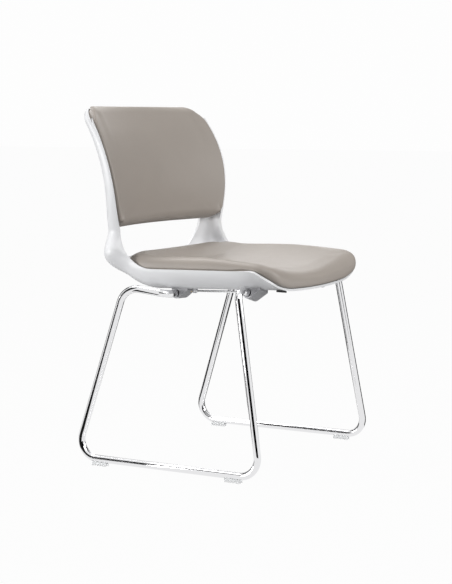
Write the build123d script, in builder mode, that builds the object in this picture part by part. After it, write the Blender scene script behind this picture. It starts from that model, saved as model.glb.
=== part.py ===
from build123d import *

import os
from dataclasses import dataclass
from math import acos, atan2, cos, hypot, pi, radians, sin, sqrt, tan

# A stacking visitor chair: two bent steel side frames, a one-piece moulded shell and two upholstered pads.
# The sitter faces -Y, so +X is the chair's left. The origin is on the floor under the middle of the chair.
# Sizes are in millimetres and angles in degrees. Setbacks are measured from the front of the seat pad.

# Overall depth, from the front of the seat pad to the rear of the back
overall_depth = 522.2

# Steel side frames
tube_diameter = 16.0
tube_wall = 1.5
rail_spacing = 530.0
rail_length = 466.5
front_foot_setback = 10.0
front_leg_lean = 9.8
front_leg_splay = 3.6
rear_leg_lean = 17.8
rear_leg_splay = 2.05
front_corner_height = 409.0
rear_corner_height = 401.0
rear_elbow_inset = 16.0
floor_bend_radius = 40.0
rear_bend_radius = 42.0
socket_bend_radius = 20.0

# Clamps that hold the frame ends under the shell
clamp_face_x = 195.0
clamp_length = 37.0
clamp_radius = 11.5
clamp_tail = 28.0
clamp_tail_rise = 8.0
clamp_block_height = 30.0
rear_clamp_setback = 256.0
rear_clamp_height = 386.0
rear_socket_dip = 3.0
front_socket_dip = 16.0
tube_insertion = 30.0
socket_clearance = 0.15
clamp_gap = 0.2
thread_clearance = 0.05
head_clearance = 0.5
clamp_screw_inset = 28.0
clamp_screw_reach = 20.0
clamp_screw_diameter = 6.0
clamp_screw_head = 11.0
clamp_screw_head_height = 3.5
clamp_boss_diameter = 16.0
clamp_boss_rise = 3.0
insert_diameter = 8.0
insert_length = 7.0
set_screw_diameter = 5.0
set_screw_reach = 14.0

# Tie rods between the clamps, with a flattened eye at each end
rod_diameter = 5.0
rod_x = 175.0
rod_eye_diameter = 14.0
rod_eye_thickness = 3.0
rod_end_gap = 8.0
rod_boss_diameter = 12.0
rod_boss_drop = 3.5
rod_screw_diameter = 5.0
rod_screw_head = 9.0
rod_screw_head_height = 3.0
rod_screw_bite = 7.0

# Floor glides
glide_height = 7.0
glide_length = 36.0
glide_width = 13.0
glide_setback = 64.0
glide_slot_length = 5.0
glide_slot_depth = 4.0
glide_peg_diameter = 5.0
glide_peg_length = 4.0
glide_cup_drop = 4.0

# Moulded shell: the seat pan
shell_wall = 5.0
seat_half_width = 229.0
seat_rim_height = 439.5
seat_tilt = 1.23
pan_depth = 52.0
pan_taper = 3.5
pan_bottom_radius = 2500.0
pan_side_radius = 45.0
front_roll_length = 58.0
front_rim_drop = 20.0
front_lip_drop = 4.0
front_bowl_length = 112.0
front_side_radius = 250.0
front_lip_setback = 3.0
front_edge_bow = 14.0
front_corner_radius = 42.0

# Moulded shell: the heel, the uprights and the back
heel_setback = 301.4
heel_radius = 80.0
waist_half_width = 223.5
waist_height = 520.0
back_half_width = 254.0
back_widest_height = 680.0
back_bend_height = 580.0
back_bend_radius = 318.0
back_bend_end_height = 745.0
back_panel_radius = 700.0
back_depth_low = 71.0
heel_swell = 18.0
heel_knee = 62.0
heel_knee_spread = 28.0
back_depth_top = 69.0
back_side_radius_low = 24.0
back_side_radius_top = 22.0
back_top_height = 786.0
back_corner_radius = 45.0

# The opening between the two pads
window_half_width = 188.0
window_bottom = 452.0
window_top = 541.0
window_low_radius = 70.0
window_high_radius = 16.0

# Seat board, which the seat pad is upholstered on
board_drop = 32.5
board_thickness = 10.0
board_half_width = 150.0
board_setback = 58.0
board_length = 262.0
board_corner_radius = 40.0
board_fit = 0.3
seat_screw_x = 105.0
seat_screw_pitch = 95.0
seat_boss_diameter = 20.0
seat_screw_diameter = 6.0
seat_screw_head = 11.0
seat_screw_head_height = 4.0
seat_screw_seat = 6.0
tee_flange_diameter = 18.0
tee_flange_thickness = 1.5
tee_barrel_diameter = 8.0
tee_barrel_length = 8.0

# Seat pad
seat_crest_height = 467.0
seat_dish = 24.0
seat_front_crest_drop = 7.0
seat_front_dish = 18.0
seat_pad_inset = 4.0
seat_pad_rise = 4.0
seat_pad_skirt = 1.0
seat_pad_base_half_width = 150.0
seat_front_base_half_width = 175.0
seat_front_roll = 36.0
seat_front_fall = 50.0
seat_front_shrink = 165.0
seat_front_edge = 14.0
seat_front_tuck = 18.0
seat_rear_roll = 29.0
seat_rear_roll_radius = 13.0
seat_rear_fall = 40.0
seat_rear_shrink = 75.0
seat_rear_dish = 3.0
seat_rear_base_half_width = 110.0
seat_rear_base_rise = 12.0
seat_crest_setback = 181.0
seat_taper_setback = 301.0
seat_rear_setback = 371.0
seat_rear_half_width = 202.0
pad_clearance = 2.2

# Back pad and the curved board inside it
back_board_thickness = 8.0
back_board_margin = 14.0
back_board_gap = 0.5
back_foam = 28.0
back_pad_clearance = 1.6
back_pad_margin = 6.0
back_pad_base_margin = 8.0
back_pad_edge_depth = 1.0
back_pad_edge_fall = 0.6
back_pad_roll_radius = 8.0
back_pad_bottom = 524.0
back_pad_top = 792.0
back_pad_low_roll = 25.0
back_pad_high_roll = 37.0
back_pad_low_shrink = 28.0
back_pad_high_shrink = 55.0
back_board_bottom = 552.0
back_board_top = 762.0
pin_diameter = 8.0
pin_skin = 2.0
pin_length = 9.0
pin_x = 120.0
pin_low_height = 585.0
pin_pitch = 65.0

# Stacking bumpers under the front lip
bumper_x = 145.0
bumper_setback = 23.0
bumper_length = 26.0
bumper_width = 14.0
bumper_drop = 4.0

# Derived places
front_y = -overall_depth / 2
tube_radius = tube_diameter / 2
rail_height = glide_height + tube_radius
heel_y = front_y + heel_setback
heel_top = seat_rim_height + heel_radius
board_rest_height = seat_rim_height - board_drop
seat_pad_base_height = board_rest_height - seat_pad_skirt
upright_y = heel_y + heel_radius
bowl_start_y = front_y + front_bowl_length
roll_start_y = front_y + front_roll_length
trim_overrun = 10.0


def blend(start, end, share):
    """The value a share of the way from start to end."""
    return start + (end - start) * share


def ease(share):
    """A smooth step from 0 to 1."""
    share = min(max(share, 0.0), 1.0)
    return share * share * (3 - 2 * share)


def bend(start_radius, end_radius, share):
    """A radius whose curvature lies a share of the way from one radius's to the other's."""
    return 1 / blend(1 / start_radius, 1 / end_radius, share)


def flip(point):
    """A sketch point mirrored to the other side of the chair."""
    return (-point[0], point[1])


def other_side(point):
    """A point of the left side mirrored to the right."""
    return Vector(-point.X, point.Y, point.Z)


@dataclass
class Station:
    """One cross-section of the shell, seen along the chair: a dish with a rim at depth 0.

    turn is the direction of depth, 0 for straight down and 90 for straight back.
    """

    y: float
    z: float
    turn: float
    half_width: float
    depth: float
    side_radius: float
    bottom_radius: float

    def plane(self):
        """The section's plane: sketch x runs across the chair and sketch y runs into the depth."""
        normal = (0, cos(radians(self.turn)), sin(radians(self.turn)))
        return Plane(origin=(0, self.y, self.z), x_dir=(1, 0, 0), z_dir=normal)

    def side_circle(self):
        """Centre of the left wall's arc, and its angles at the rim and at the bottom arc it runs into."""
        lift = self.bottom_radius - self.depth
        reach = self.bottom_radius - self.side_radius
        chord = hypot(self.half_width, lift)
        spread = acos((reach**2 + chord**2 - self.side_radius**2) / (2 * reach * chord))
        low = atan2(lift, self.half_width) + spread
        x = reach * cos(low)
        y = reach * sin(low) - lift
        return x, y, atan2(-y, self.half_width - x), low

    def wall_points(self, inset):
        """Rim, middle and foot of the left wall, and the deepest point, set inwards by inset."""
        x, y, high, low = self.side_circle()
        radius = self.side_radius - inset

        def on_wall(angle):
            return (x + radius * cos(angle), y + radius * sin(angle))

        return on_wall(high), on_wall((high + low) / 2), on_wall(low), (0, self.depth - inset)

    def depth_at(self, across, inset):
        """Depth of the wall at a distance across from the middle, set inwards by inset."""
        x, y = self.side_circle()[:2]
        foot = self.wall_points(inset)[2]
        if across <= foot[0]:
            radius = self.bottom_radius - inset
            return self.depth - self.bottom_radius + sqrt(radius**2 - across**2)
        radius = self.side_radius - inset
        return y + sqrt(radius**2 - (across - x) ** 2)


def seat_station(y):
    """Section of the seat pan at y. The walls open into a shallow bowl towards the front lip."""
    roll = max(0.0, (roll_start_y - y) / front_roll_length) ** 1.5
    bowl = ease((bowl_start_y - y) / front_bowl_length)
    tilt_rise = (heel_y - y) * tan(radians(seat_tilt))
    return Station(
        y=y,
        z=seat_rim_height + tilt_rise - front_rim_drop * roll,
        turn=0,
        half_width=seat_half_width,
        depth=pan_depth - pan_taper * (heel_y - y) / heel_setback - (front_rim_drop - front_lip_drop) * roll,
        side_radius=bend(pan_side_radius, front_side_radius, bowl),
        bottom_radius=pan_bottom_radius,
    )


def heel_station(turn):
    """Section of the heel, where the pan turns up into the uprights over a knee."""
    share = ease(turn / 90)
    swell = heel_swell * max(0.0, 1 - abs(turn - heel_knee) / heel_knee_spread)
    return Station(
        y=heel_y + heel_radius * sin(radians(turn)),
        z=heel_top - heel_radius * cos(radians(turn)),
        turn=turn,
        half_width=blend(seat_half_width, waist_half_width, share),
        depth=blend(pan_depth, back_depth_low, share) + swell,
        side_radius=blend(pan_side_radius, back_side_radius_low, share),
        bottom_radius=bend(pan_bottom_radius, back_panel_radius, share),
    )


def back_lean(z):
    """How far the back's rim has leant backwards at height z, and its slope there."""
    rise = min(max(z - back_bend_height, 0.0), back_bend_end_height - back_bend_height)
    level = sqrt(back_bend_radius**2 - rise**2)
    slope = rise / level
    return back_bend_radius - level + slope * max(0.0, z - back_bend_end_height), slope


def back_width(z):
    """Half-width of the back at height z: narrow at the waist, widest at chest height."""
    fall = (z - back_widest_height) / (back_widest_height - waist_height)
    return back_half_width - (back_half_width - waist_half_width) * min(fall**2, 1.0)


def back_station(z):
    """Section of the uprights and back at height z."""
    rise = (z - heel_top) / (back_top_height - heel_top)
    return Station(
        y=upright_y + back_lean(z)[0],
        z=z,
        turn=90,
        half_width=back_width(z),
        depth=blend(back_depth_low, back_depth_top, rise),
        side_radius=blend(back_side_radius_low, back_side_radius_top, rise),
        bottom_radius=back_panel_radius,
    )


def wall_curve(station, inset):
    """Three tangent arcs from the left rim to the right rim, set inwards by inset."""
    rim, middle, foot, deepest = station.wall_points(inset)
    ThreePointArc(rim, middle, foot)
    ThreePointArc(foot, deepest, flip(foot))
    ThreePointArc(flip(foot), flip(middle), flip(rim))
    return rim


def shell_section(station):
    """The shell's wall at a station."""
    with BuildSketch(station.plane()) as section:
        with BuildLine():
            outer_rim = wall_curve(station, 0)
            inner_rim = wall_curve(station, shell_wall)
            Line(outer_rim, inner_rim)
            Line(flip(outer_rim), flip(inner_rim))
        make_face()
    return section.sketch


def filled_section(station, inset):
    """The whole dish at a station, filled up to its rim."""
    with BuildSketch(station.plane()) as section:
        with BuildLine():
            rim = wall_curve(station, inset)
            Line(rim, flip(rim))
        make_face()
    return section.sketch


def cushion_section(plane, half_width, widest, roll, dish, base_half_width, base_depth, base_sag=0.0):
    """A pad's section: rolled edges that run into a dished face, over a base that is flat or sagging."""
    roll_x = half_width - roll
    drop = widest - dish
    face_radius = (roll_x**2 + drop**2 - roll**2) / (2 * (roll - drop))
    face_y = dish - face_radius
    towards = atan2(face_y - widest, -roll_x)
    half_turn = towards / 2 if towards < 0 else towards / 2 - pi
    edge = (half_width, widest)
    shoulder = (roll_x + roll * cos(half_turn), widest + roll * sin(half_turn))
    crest = (roll_x + roll * cos(towards), widest + roll * sin(towards))
    base = (base_half_width, base_depth)
    with BuildSketch(plane) as section:
        with BuildLine():
            Line(base, edge)
            ThreePointArc(edge, shoulder, crest)
            ThreePointArc(crest, (0, dish), flip(crest))
            ThreePointArc(flip(crest), flip(shoulder), flip(edge))
            Line(flip(edge), flip(base))
            if base_sag:
                ThreePointArc(flip(base), (0, base_depth + base_sag), base)
            else:
                Line(flip(base), base)
        make_face()
    return section.sketch


# Stations that the shell runs through, evenly spread from the front lip to the top of the back
seat_stations = [seat_station(blend(front_y - trim_overrun, heel_y, step / 8)) for step in range(9)]
heel_stations = [heel_station(90 * step / 4) for step in range(1, 5)]
back_stations = [
    back_station(blend(heel_top, back_top_height + trim_overrun, step / 7)) for step in range(1, 8)
]

# The pan filled to its rim: grown by the clamps' gap, and taken at the middle of its wall
pan_stations = seat_stations + heel_stations[:3]
with BuildPart() as pan_outside:
    loft([filled_section(station, -clamp_gap) for station in pan_stations])
with BuildPart() as pan_middle:
    loft([filled_section(station, shell_wall / 2) for station in pan_stations])

# Places of the frame ends, worked out for the left side
rail_x = rail_spacing / 2
front_foot = Vector(rail_x, front_y + front_foot_setback, rail_height)
rear_foot = front_foot + Vector(0, rail_length, 0)
front_rise = front_corner_height - rail_height
rear_rise = rear_corner_height - rail_height
front_corner = front_foot + front_rise * Vector(
    -tan(radians(front_leg_splay)), tan(radians(front_leg_lean)), 1
)
rear_corner = rear_foot + rear_rise * Vector(
    -tan(radians(rear_leg_splay)), -tan(radians(rear_leg_lean)), 1
)
front_axis = Vector(-cos(radians(front_socket_dip)), 0, -sin(radians(front_socket_dip)))
rear_axis = Vector(-cos(radians(rear_socket_dip)), 0, -sin(radians(rear_socket_dip)))
front_run = (front_corner.X - clamp_face_x) / cos(radians(front_socket_dip))
front_socket = front_corner + front_run * front_axis
rear_socket = Vector(clamp_face_x, front_y + rear_clamp_setback, rear_clamp_height)
rear_elbow_x = rear_corner.X - rear_elbow_inset
rear_run = (rear_elbow_x - clamp_face_x) / cos(radians(rear_socket_dip))
rear_elbow = rear_socket - rear_run * rear_axis
glide_ys = (front_foot.Y + glide_setback, rear_foot.Y - glide_setback)

# Side frames: one bent tube each, with a hole over every glide
with BuildPart() as side_frame_left:
    with BuildLine() as frame_path:
        FilletPolyline(
            front_socket + tube_insertion * front_axis,
            front_corner,
            front_foot,
            rear_foot,
            rear_corner,
            rear_elbow,
            rear_socket + tube_insertion * rear_axis,
            radius=[
                socket_bend_radius,
                floor_bend_radius,
                floor_bend_radius,
                rear_bend_radius,
                socket_bend_radius,
            ],
        )
    with BuildSketch(Plane(frame_path.line @ 0, z_dir=frame_path.line % 0)):
        Circle(tube_radius)
        Circle(tube_radius - tube_wall, mode=Mode.SUBTRACT)
    sweep()
    with Locations(*[(rail_x, y, glide_height + glide_peg_length / 2) for y in glide_ys]):
        Cylinder(glide_peg_diameter / 2 + socket_clearance, glide_peg_length + tube_wall, mode=Mode.SUBTRACT)

with BuildPart() as side_frame_right:
    mirror(side_frame_left.part, about=Plane.YZ)



def pan_height(x, y, inset):
    """Height of the pan's wall at a place in plan, set inwards from its underside by inset."""
    station = seat_station(y)
    return station.z - station.depth_at(abs(x), inset)


def socket_plane(socket, axis, reach):
    """Plane across a socket at a distance in from its mouth: sketch x points forwards."""
    return Plane(socket + reach * axis, x_dir=(0, -1, 0), z_dir=axis)


def set_screw_plane(socket, axis):
    """Plane along a socket's axis whose normal points up, where the set screw meets the tube."""
    return Plane(socket + set_screw_reach * axis, x_dir=(0, -1, 0), z_dir=(axis.Z, 0, -axis.X))


def clamp_screw_place(socket):
    """Where the screw of a clamp stands in plan."""
    return clamp_face_x - clamp_screw_inset, socket.Y - clamp_screw_reach


def insert_place(socket):
    """Middle of the threaded insert of a clamp, just under the shell."""
    x, y = clamp_screw_place(socket)
    lowest = pan_height(x - insert_diameter / 2, y + insert_diameter / 2, -clamp_gap)
    return x, y, lowest - insert_length / 2


def clamp_solid(socket, axis):
    """A clamp: a round socket with a tail that rises to the shell, cut to the shell's underside."""
    tail = hypot(clamp_tail, clamp_tail_rise)
    tail_angle = atan2(clamp_tail_rise, clamp_tail) - acos(clamp_radius / tail)
    tail_foot = (clamp_radius * cos(tail_angle), clamp_radius * sin(tail_angle))
    with BuildPart() as clamp:
        with BuildSketch(socket_plane(socket, axis, 0)):
            Circle(clamp_radius)
            with BuildLine():
                Polyline(
                    (-clamp_radius, 0),
                    (-clamp_radius, clamp_block_height),
                    (clamp_tail, clamp_block_height),
                    (clamp_tail, clamp_tail_rise),
                    tail_foot,
                    (0, 0),
                    close=True,
                )
            make_face()
        extrude(amount=clamp_length)
        add(pan_outside.part, mode=Mode.SUBTRACT)
        with BuildSketch(socket_plane(socket, axis, 0)):
            Circle(tube_radius + socket_clearance)
        extrude(amount=tube_insertion + socket_clearance, mode=Mode.SUBTRACT)
        with Locations(insert_place(socket)):
            Cylinder(insert_diameter / 2 + thread_clearance, insert_length + 2, mode=Mode.SUBTRACT)
        with BuildSketch(set_screw_plane(socket, axis)):
            Circle(set_screw_diameter / 2 + thread_clearance)
        extrude(amount=-2 * clamp_radius, mode=Mode.SUBTRACT)
    return clamp.part


# Clamps, two to a side
front_clamp_solid = clamp_solid(front_socket, front_axis)
rear_clamp_solid = clamp_solid(rear_socket, rear_axis)
with BuildPart() as front_clamp_left:
    add(front_clamp_solid)
with BuildPart() as rear_clamp_left:
    add(rear_clamp_solid)
with BuildPart() as front_clamp_right:
    mirror(front_clamp_left.part, about=Plane.YZ)
with BuildPart() as rear_clamp_right:
    mirror(rear_clamp_left.part, about=Plane.YZ)

# The clamps' screws drop through the pan into threaded inserts
clamp_screw_x, front_screw_y = clamp_screw_place(front_socket)
rear_screw_y = clamp_screw_place(rear_socket)[1]
front_screw_seat = pan_height(clamp_screw_x, front_screw_y, shell_wall) + clamp_boss_rise
rear_screw_seat = pan_height(clamp_screw_x, rear_screw_y, shell_wall) + clamp_boss_rise
front_screw_tip = insert_place(front_socket)[2] - insert_length / 2
rear_screw_tip = insert_place(rear_socket)[2] - insert_length / 2
with BuildPart() as clamp_screws:
    with Locations((clamp_screw_x, front_screw_y, front_screw_seat)):
        Cylinder(clamp_screw_head / 2, clamp_screw_head_height, align=(Align.CENTER, Align.CENTER, Align.MIN))
        Cylinder(
            clamp_screw_diameter / 2,
            front_screw_seat - front_screw_tip,
            align=(Align.CENTER, Align.CENTER, Align.MAX),
        )
    with Locations((clamp_screw_x, rear_screw_y, rear_screw_seat)):
        Cylinder(clamp_screw_head / 2, clamp_screw_head_height, align=(Align.CENTER, Align.CENTER, Align.MIN))
        Cylinder(
            clamp_screw_diameter / 2,
            rear_screw_seat - rear_screw_tip,
            align=(Align.CENTER, Align.CENTER, Align.MAX),
        )
    mirror(about=Plane.YZ)

with BuildPart() as clamp_inserts:
    with Locations(insert_place(front_socket), insert_place(rear_socket)):
        Cylinder(insert_diameter / 2, insert_length)
        Cylinder(clamp_screw_diameter / 2 + thread_clearance, insert_length, mode=Mode.SUBTRACT)
    mirror(about=Plane.YZ)

with BuildPart() as tube_set_screws:
    for socket, axis in ((front_socket, front_axis), (rear_socket, rear_axis)):
        with BuildSketch(set_screw_plane(socket, axis).offset(-tube_radius - thread_clearance)):
            Circle(set_screw_diameter / 2)
        extrude(amount=-(clamp_radius - tube_radius - thread_clearance))
    mirror(about=Plane.YZ)

# Tie rods under the pan, from ahead of the rear clamp to behind the front one
rod_rear_y = rear_socket.Y - clamp_tail - rod_end_gap
rod_front_y = front_socket.Y + clamp_radius + rod_end_gap
rod_drop = rod_boss_drop + rod_eye_thickness / 2
rod_rear = Vector(rod_x, rod_rear_y, pan_height(rod_x, rod_rear_y, 0) - rod_drop)
rod_front = Vector(rod_x, rod_front_y, pan_height(rod_x, rod_front_y, 0) - rod_drop)
rod_line = rod_front - rod_rear
rod_plane = Plane(rod_rear, x_dir=rod_line, z_dir=(0, rod_line.Z, -rod_line.Y))
rod_ends = [(0, 0), (rod_line.length, 0)]
rod_margin = rod_eye_diameter / 2 - 0.5
with BuildPart() as tie_rod_left:
    with BuildSketch(rod_plane.offset(-rod_eye_thickness / 2)):
        with Locations(*rod_ends):
            Circle(rod_eye_diameter / 2)
            Circle(rod_screw_diameter / 2 + socket_clearance, mode=Mode.SUBTRACT)
    extrude(amount=rod_eye_thickness)
    with BuildSketch(Plane(rod_rear, x_dir=(1, 0, 0), z_dir=rod_line).offset(rod_margin)):
        Circle(rod_diameter / 2)
    extrude(amount=rod_line.length - 2 * rod_margin)

with BuildPart() as tie_rod_right:
    mirror(tie_rod_left.part, about=Plane.YZ)

with BuildPart() as tie_rod_screws:
    with BuildSketch(rod_plane.offset(-rod_eye_thickness / 2)):
        with Locations(*rod_ends):
            Circle(rod_screw_head / 2)
    extrude(amount=-rod_screw_head_height)
    with BuildSketch(rod_plane.offset(-rod_eye_thickness / 2)):
        with Locations(*rod_ends):
            Circle(rod_screw_diameter / 2)
    extrude(amount=rod_eye_thickness + rod_screw_bite)
    mirror(about=Plane.YZ)

# Bosses of the shell: under the seat board and the clamps' screws inside, for the tie rods underneath
board_middle_y = front_y + board_setback + board_length / 2
with BuildPart() as pan_bosses:
    with BuildSketch(Plane.XY.offset(board_rest_height)):
        with Locations((0, board_middle_y)):
            with GridLocations(2 * seat_screw_x, seat_screw_pitch, 2, 3):
                Circle(seat_boss_diameter / 2)
    extrude(amount=-pan_depth)
    with BuildSketch(Plane.XY.offset(front_screw_seat)):
        with Locations((clamp_screw_x, front_screw_y), (-clamp_screw_x, front_screw_y)):
            Circle(clamp_boss_diameter / 2)
    extrude(amount=-pan_depth)
    with BuildSketch(Plane.XY.offset(rear_screw_seat)):
        with Locations((clamp_screw_x, rear_screw_y), (-clamp_screw_x, rear_screw_y)):
            Circle(clamp_boss_diameter / 2)
    extrude(amount=-pan_depth)
    add(pan_middle.part, mode=Mode.INTERSECT)

with BuildPart() as rod_bosses:
    with BuildSketch(rod_plane.offset(rod_eye_thickness / 2)):
        with Locations(*rod_ends):
            Circle(rod_boss_diameter / 2)
    extrude(amount=rod_boss_drop + shell_wall)
    add(pan_middle.part, mode=Mode.SUBTRACT)
    mirror(about=Plane.YZ)


def panel_place(x, z):
    """A point on the back panel's front face, and the panel's normal there, pointing backwards."""
    above = back_station(z + 1)
    below = back_station(z - 1)
    slope = (above.y + above.depth - below.y - below.depth) / 2
    station = back_station(z)
    across = x / (station.bottom_radius - shell_wall)
    point = Vector(x, station.y + station.depth_at(abs(x), shell_wall), z)
    return point, Vector(across, sqrt(1 - across**2), -slope).normalized()


pin_places = [
    panel_place(side * pin_x, pin_low_height + row * pin_pitch) for side in (-1, 1) for row in range(3)
]
pin_bite = shell_wall - pin_skin


def front_outline():
    """Plan of the shell's front: a bowed edge with rounded corners."""
    half_width = seat_half_width + 1
    lip_y = front_y + front_lip_setback
    with BuildSketch(Plane.XY) as outline:
        with BuildLine():
            ThreePointArc(
                (-half_width, lip_y + front_edge_bow),
                (0, lip_y),
                (half_width, lip_y + front_edge_bow),
            )
            Polyline(
                (half_width, lip_y + front_edge_bow),
                (half_width, heel_y),
                (-half_width, heel_y),
                (-half_width, lip_y + front_edge_bow),
            )
        make_face()
        fillet(outline.vertices().group_by(Axis.Y)[0], front_corner_radius)
    return outline.sketch


# The moulded shell, lofted from lip to top and then trimmed, opened and drilled
shell_front = front_outline()
trim_depth = front_corner_radius + front_lip_setback + front_edge_bow
with BuildPart() as shell:
    loft([shell_section(station) for station in seat_stations + heel_stations + back_stations])
    with BuildSketch(Plane.XY):
        with Locations((0, front_y - 2 * trim_overrun)):
            Rectangle(
                2 * seat_half_width + 4 * trim_overrun,
                2 * trim_overrun + trim_depth,
                align=(Align.CENTER, Align.MIN),
            )
        add(shell_front, mode=Mode.SUBTRACT)
    extrude(amount=seat_crest_height, mode=Mode.SUBTRACT)
    with BuildSketch(Plane.XZ):
        with Locations((0, back_top_height - back_corner_radius)):
            Rectangle(
                2 * back_half_width + 2 * trim_overrun,
                back_corner_radius + 2 * trim_overrun,
                align=(Align.CENTER, Align.MIN),
            )
        with Locations((0, back_top_height - back_half_width)):
            RectangleRounded(
                2 * back_width(back_top_height - back_corner_radius),
                2 * back_half_width,
                back_corner_radius,
                mode=Mode.SUBTRACT,
            )
    extrude(amount=-overall_depth, mode=Mode.SUBTRACT)
    with BuildSketch(Plane.XZ) as window:
        with Locations((0, window_bottom)):
            Rectangle(2 * window_half_width, window_top - window_bottom, align=(Align.CENTER, Align.MIN))
        fillet(window.vertices().group_by(Axis.Y)[0], window_low_radius)
        fillet(window.vertices().group_by(Axis.Y)[-1], window_high_radius)
    extrude(amount=-overall_depth, mode=Mode.SUBTRACT)
    add(pan_bosses.part)
    add(rod_bosses.part)
    with BuildSketch(Plane.XY.offset(board_rest_height)):
        with Locations((0, board_middle_y)):
            with GridLocations(2 * seat_screw_x, seat_screw_pitch, 2, 3):
                Circle(seat_screw_diameter / 2 + socket_clearance)
    extrude(amount=-pan_depth, mode=Mode.SUBTRACT)
    with BuildSketch(Plane.XY.offset(board_rest_height - seat_screw_seat)):
        with Locations((0, board_middle_y)):
            with GridLocations(2 * seat_screw_x, seat_screw_pitch, 2, 3):
                Circle(seat_screw_head / 2 + head_clearance)
    extrude(amount=-pan_depth, mode=Mode.SUBTRACT)
    with Locations(
        (clamp_screw_x, front_screw_y, front_screw_seat),
        (clamp_screw_x, rear_screw_y, rear_screw_seat),
        (-clamp_screw_x, front_screw_y, front_screw_seat),
        (-clamp_screw_x, rear_screw_y, rear_screw_seat),
    ):
        Cylinder(clamp_screw_diameter / 2 + socket_clearance, pan_depth, mode=Mode.SUBTRACT)
    for plane in (rod_plane, Plane(other_side(rod_rear), x_dir=rod_line, z_dir=rod_plane.z_dir)):
        with BuildSketch(plane.offset(rod_eye_thickness / 2)):
            with Locations(*rod_ends):
                Circle(rod_screw_diameter / 2 + thread_clearance)
        extrude(amount=rod_screw_bite + thread_clearance, mode=Mode.SUBTRACT)
    for point, normal in pin_places:
        with BuildSketch(Plane(point, z_dir=normal).offset(-pin_bite)):
            Circle(pin_diameter / 2 + socket_clearance)
        extrude(amount=2 * pin_bite + thread_clearance, mode=Mode.SUBTRACT)

# Seat board with threaded tee-nuts, screwed to the shell's bosses from below
with BuildPart() as seat_board:
    with BuildSketch(Plane.XY.offset(board_rest_height)):
        with Locations((0, board_middle_y)):
            RectangleRounded(2 * board_half_width, board_length, board_corner_radius)
    extrude(amount=board_thickness)
    with BuildSketch(Plane.XY.offset(board_rest_height)):
        with Locations((0, board_middle_y)):
            with GridLocations(2 * seat_screw_x, seat_screw_pitch, 2, 3):
                Circle(tee_barrel_diameter / 2 + thread_clearance)
    extrude(amount=board_thickness, mode=Mode.SUBTRACT)
    with BuildSketch(Plane.XY.offset(board_rest_height + board_thickness)):
        with Locations((0, board_middle_y)):
            with GridLocations(2 * seat_screw_x, seat_screw_pitch, 2, 3):
                Circle(tee_flange_diameter / 2 + socket_clearance)
    extrude(amount=-tee_flange_thickness, mode=Mode.SUBTRACT)

with BuildPart() as seat_tee_nuts:
    with BuildSketch(Plane.XY.offset(board_rest_height + board_thickness)):
        with Locations((0, board_middle_y)):
            with GridLocations(2 * seat_screw_x, seat_screw_pitch, 2, 3):
                Circle(tee_flange_diameter / 2)
    extrude(amount=-tee_flange_thickness)
    with BuildSketch(Plane.XY.offset(board_rest_height + board_thickness)):
        with Locations((0, board_middle_y)):
            with GridLocations(2 * seat_screw_x, seat_screw_pitch, 2, 3):
                Circle(tee_barrel_diameter / 2)
    extrude(amount=-tee_barrel_length)
    with BuildSketch(Plane.XY.offset(board_rest_height)):
        with Locations((0, board_middle_y)):
            with GridLocations(2 * seat_screw_x, seat_screw_pitch, 2, 3):
                Circle(seat_screw_diameter / 2 + thread_clearance)
    extrude(amount=board_thickness, mode=Mode.SUBTRACT)

with BuildPart() as seat_screws:
    with BuildSketch(Plane.XY.offset(board_rest_height - seat_screw_seat)):
        with Locations((0, board_middle_y)):
            with GridLocations(2 * seat_screw_x, seat_screw_pitch, 2, 3):
                Circle(seat_screw_head / 2)
    extrude(amount=-seat_screw_head_height)
    with BuildSketch(Plane.XY.offset(board_rest_height - seat_screw_seat)):
        with Locations((0, board_middle_y)):
            with GridLocations(2 * seat_screw_x, seat_screw_pitch, 2, 3):
                Circle(seat_screw_diameter / 2)
    extrude(amount=seat_screw_seat + board_thickness - tee_flange_thickness)

# Seat pad, lofted from its front roll to its rear roll
pad_front_y = front_y + seat_front_roll
pad_crest_y = front_y + seat_crest_setback
pad_taper_y = front_y + seat_taper_setback
pad_rear_y = front_y + seat_rear_setback
pad_half_width = seat_half_width - seat_pad_inset
last_turn = 80.0
roll_turns = (30.0, 60.0, last_turn)


def seat_plane(y, z):
    """Upright plane across the seat: sketch y is the depth below height z."""
    return Plane(origin=(0, y, z), x_dir=(1, 0, 0), z_dir=(0, 1, 0))


def seat_pad_middle(y):
    """Section of the seat pad between its two rolls."""
    fall = max(0.0, (pad_crest_y - y) / (pad_crest_y - pad_front_y))
    taper = max(0.0, (y - pad_taper_y) / (pad_rear_y - pad_taper_y))
    crest = seat_crest_height - seat_front_crest_drop * fall**1.5
    rim_edge = seat_station(min(y, pad_taper_y)).z + seat_pad_rise
    edge = blend(rim_edge, seat_crest_height - seat_rear_roll_radius, taper)
    base_half_width = blend(seat_pad_base_half_width, seat_front_base_half_width, fall)
    base_height = max(seat_pad_base_height, pan_height(base_half_width, y, shell_wall) + pad_clearance)
    return cushion_section(
        seat_plane(y, crest),
        half_width=blend(pad_half_width, seat_rear_half_width, taper**2),
        widest=crest - edge,
        roll=crest - edge,
        dish=blend(blend(seat_dish, seat_front_dish, fall), seat_rear_dish, ease(taper)),
        base_half_width=blend(base_half_width, seat_rear_base_half_width, ease(taper)),
        base_depth=crest - base_height - seat_rear_base_rise * taper,
    )


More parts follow.
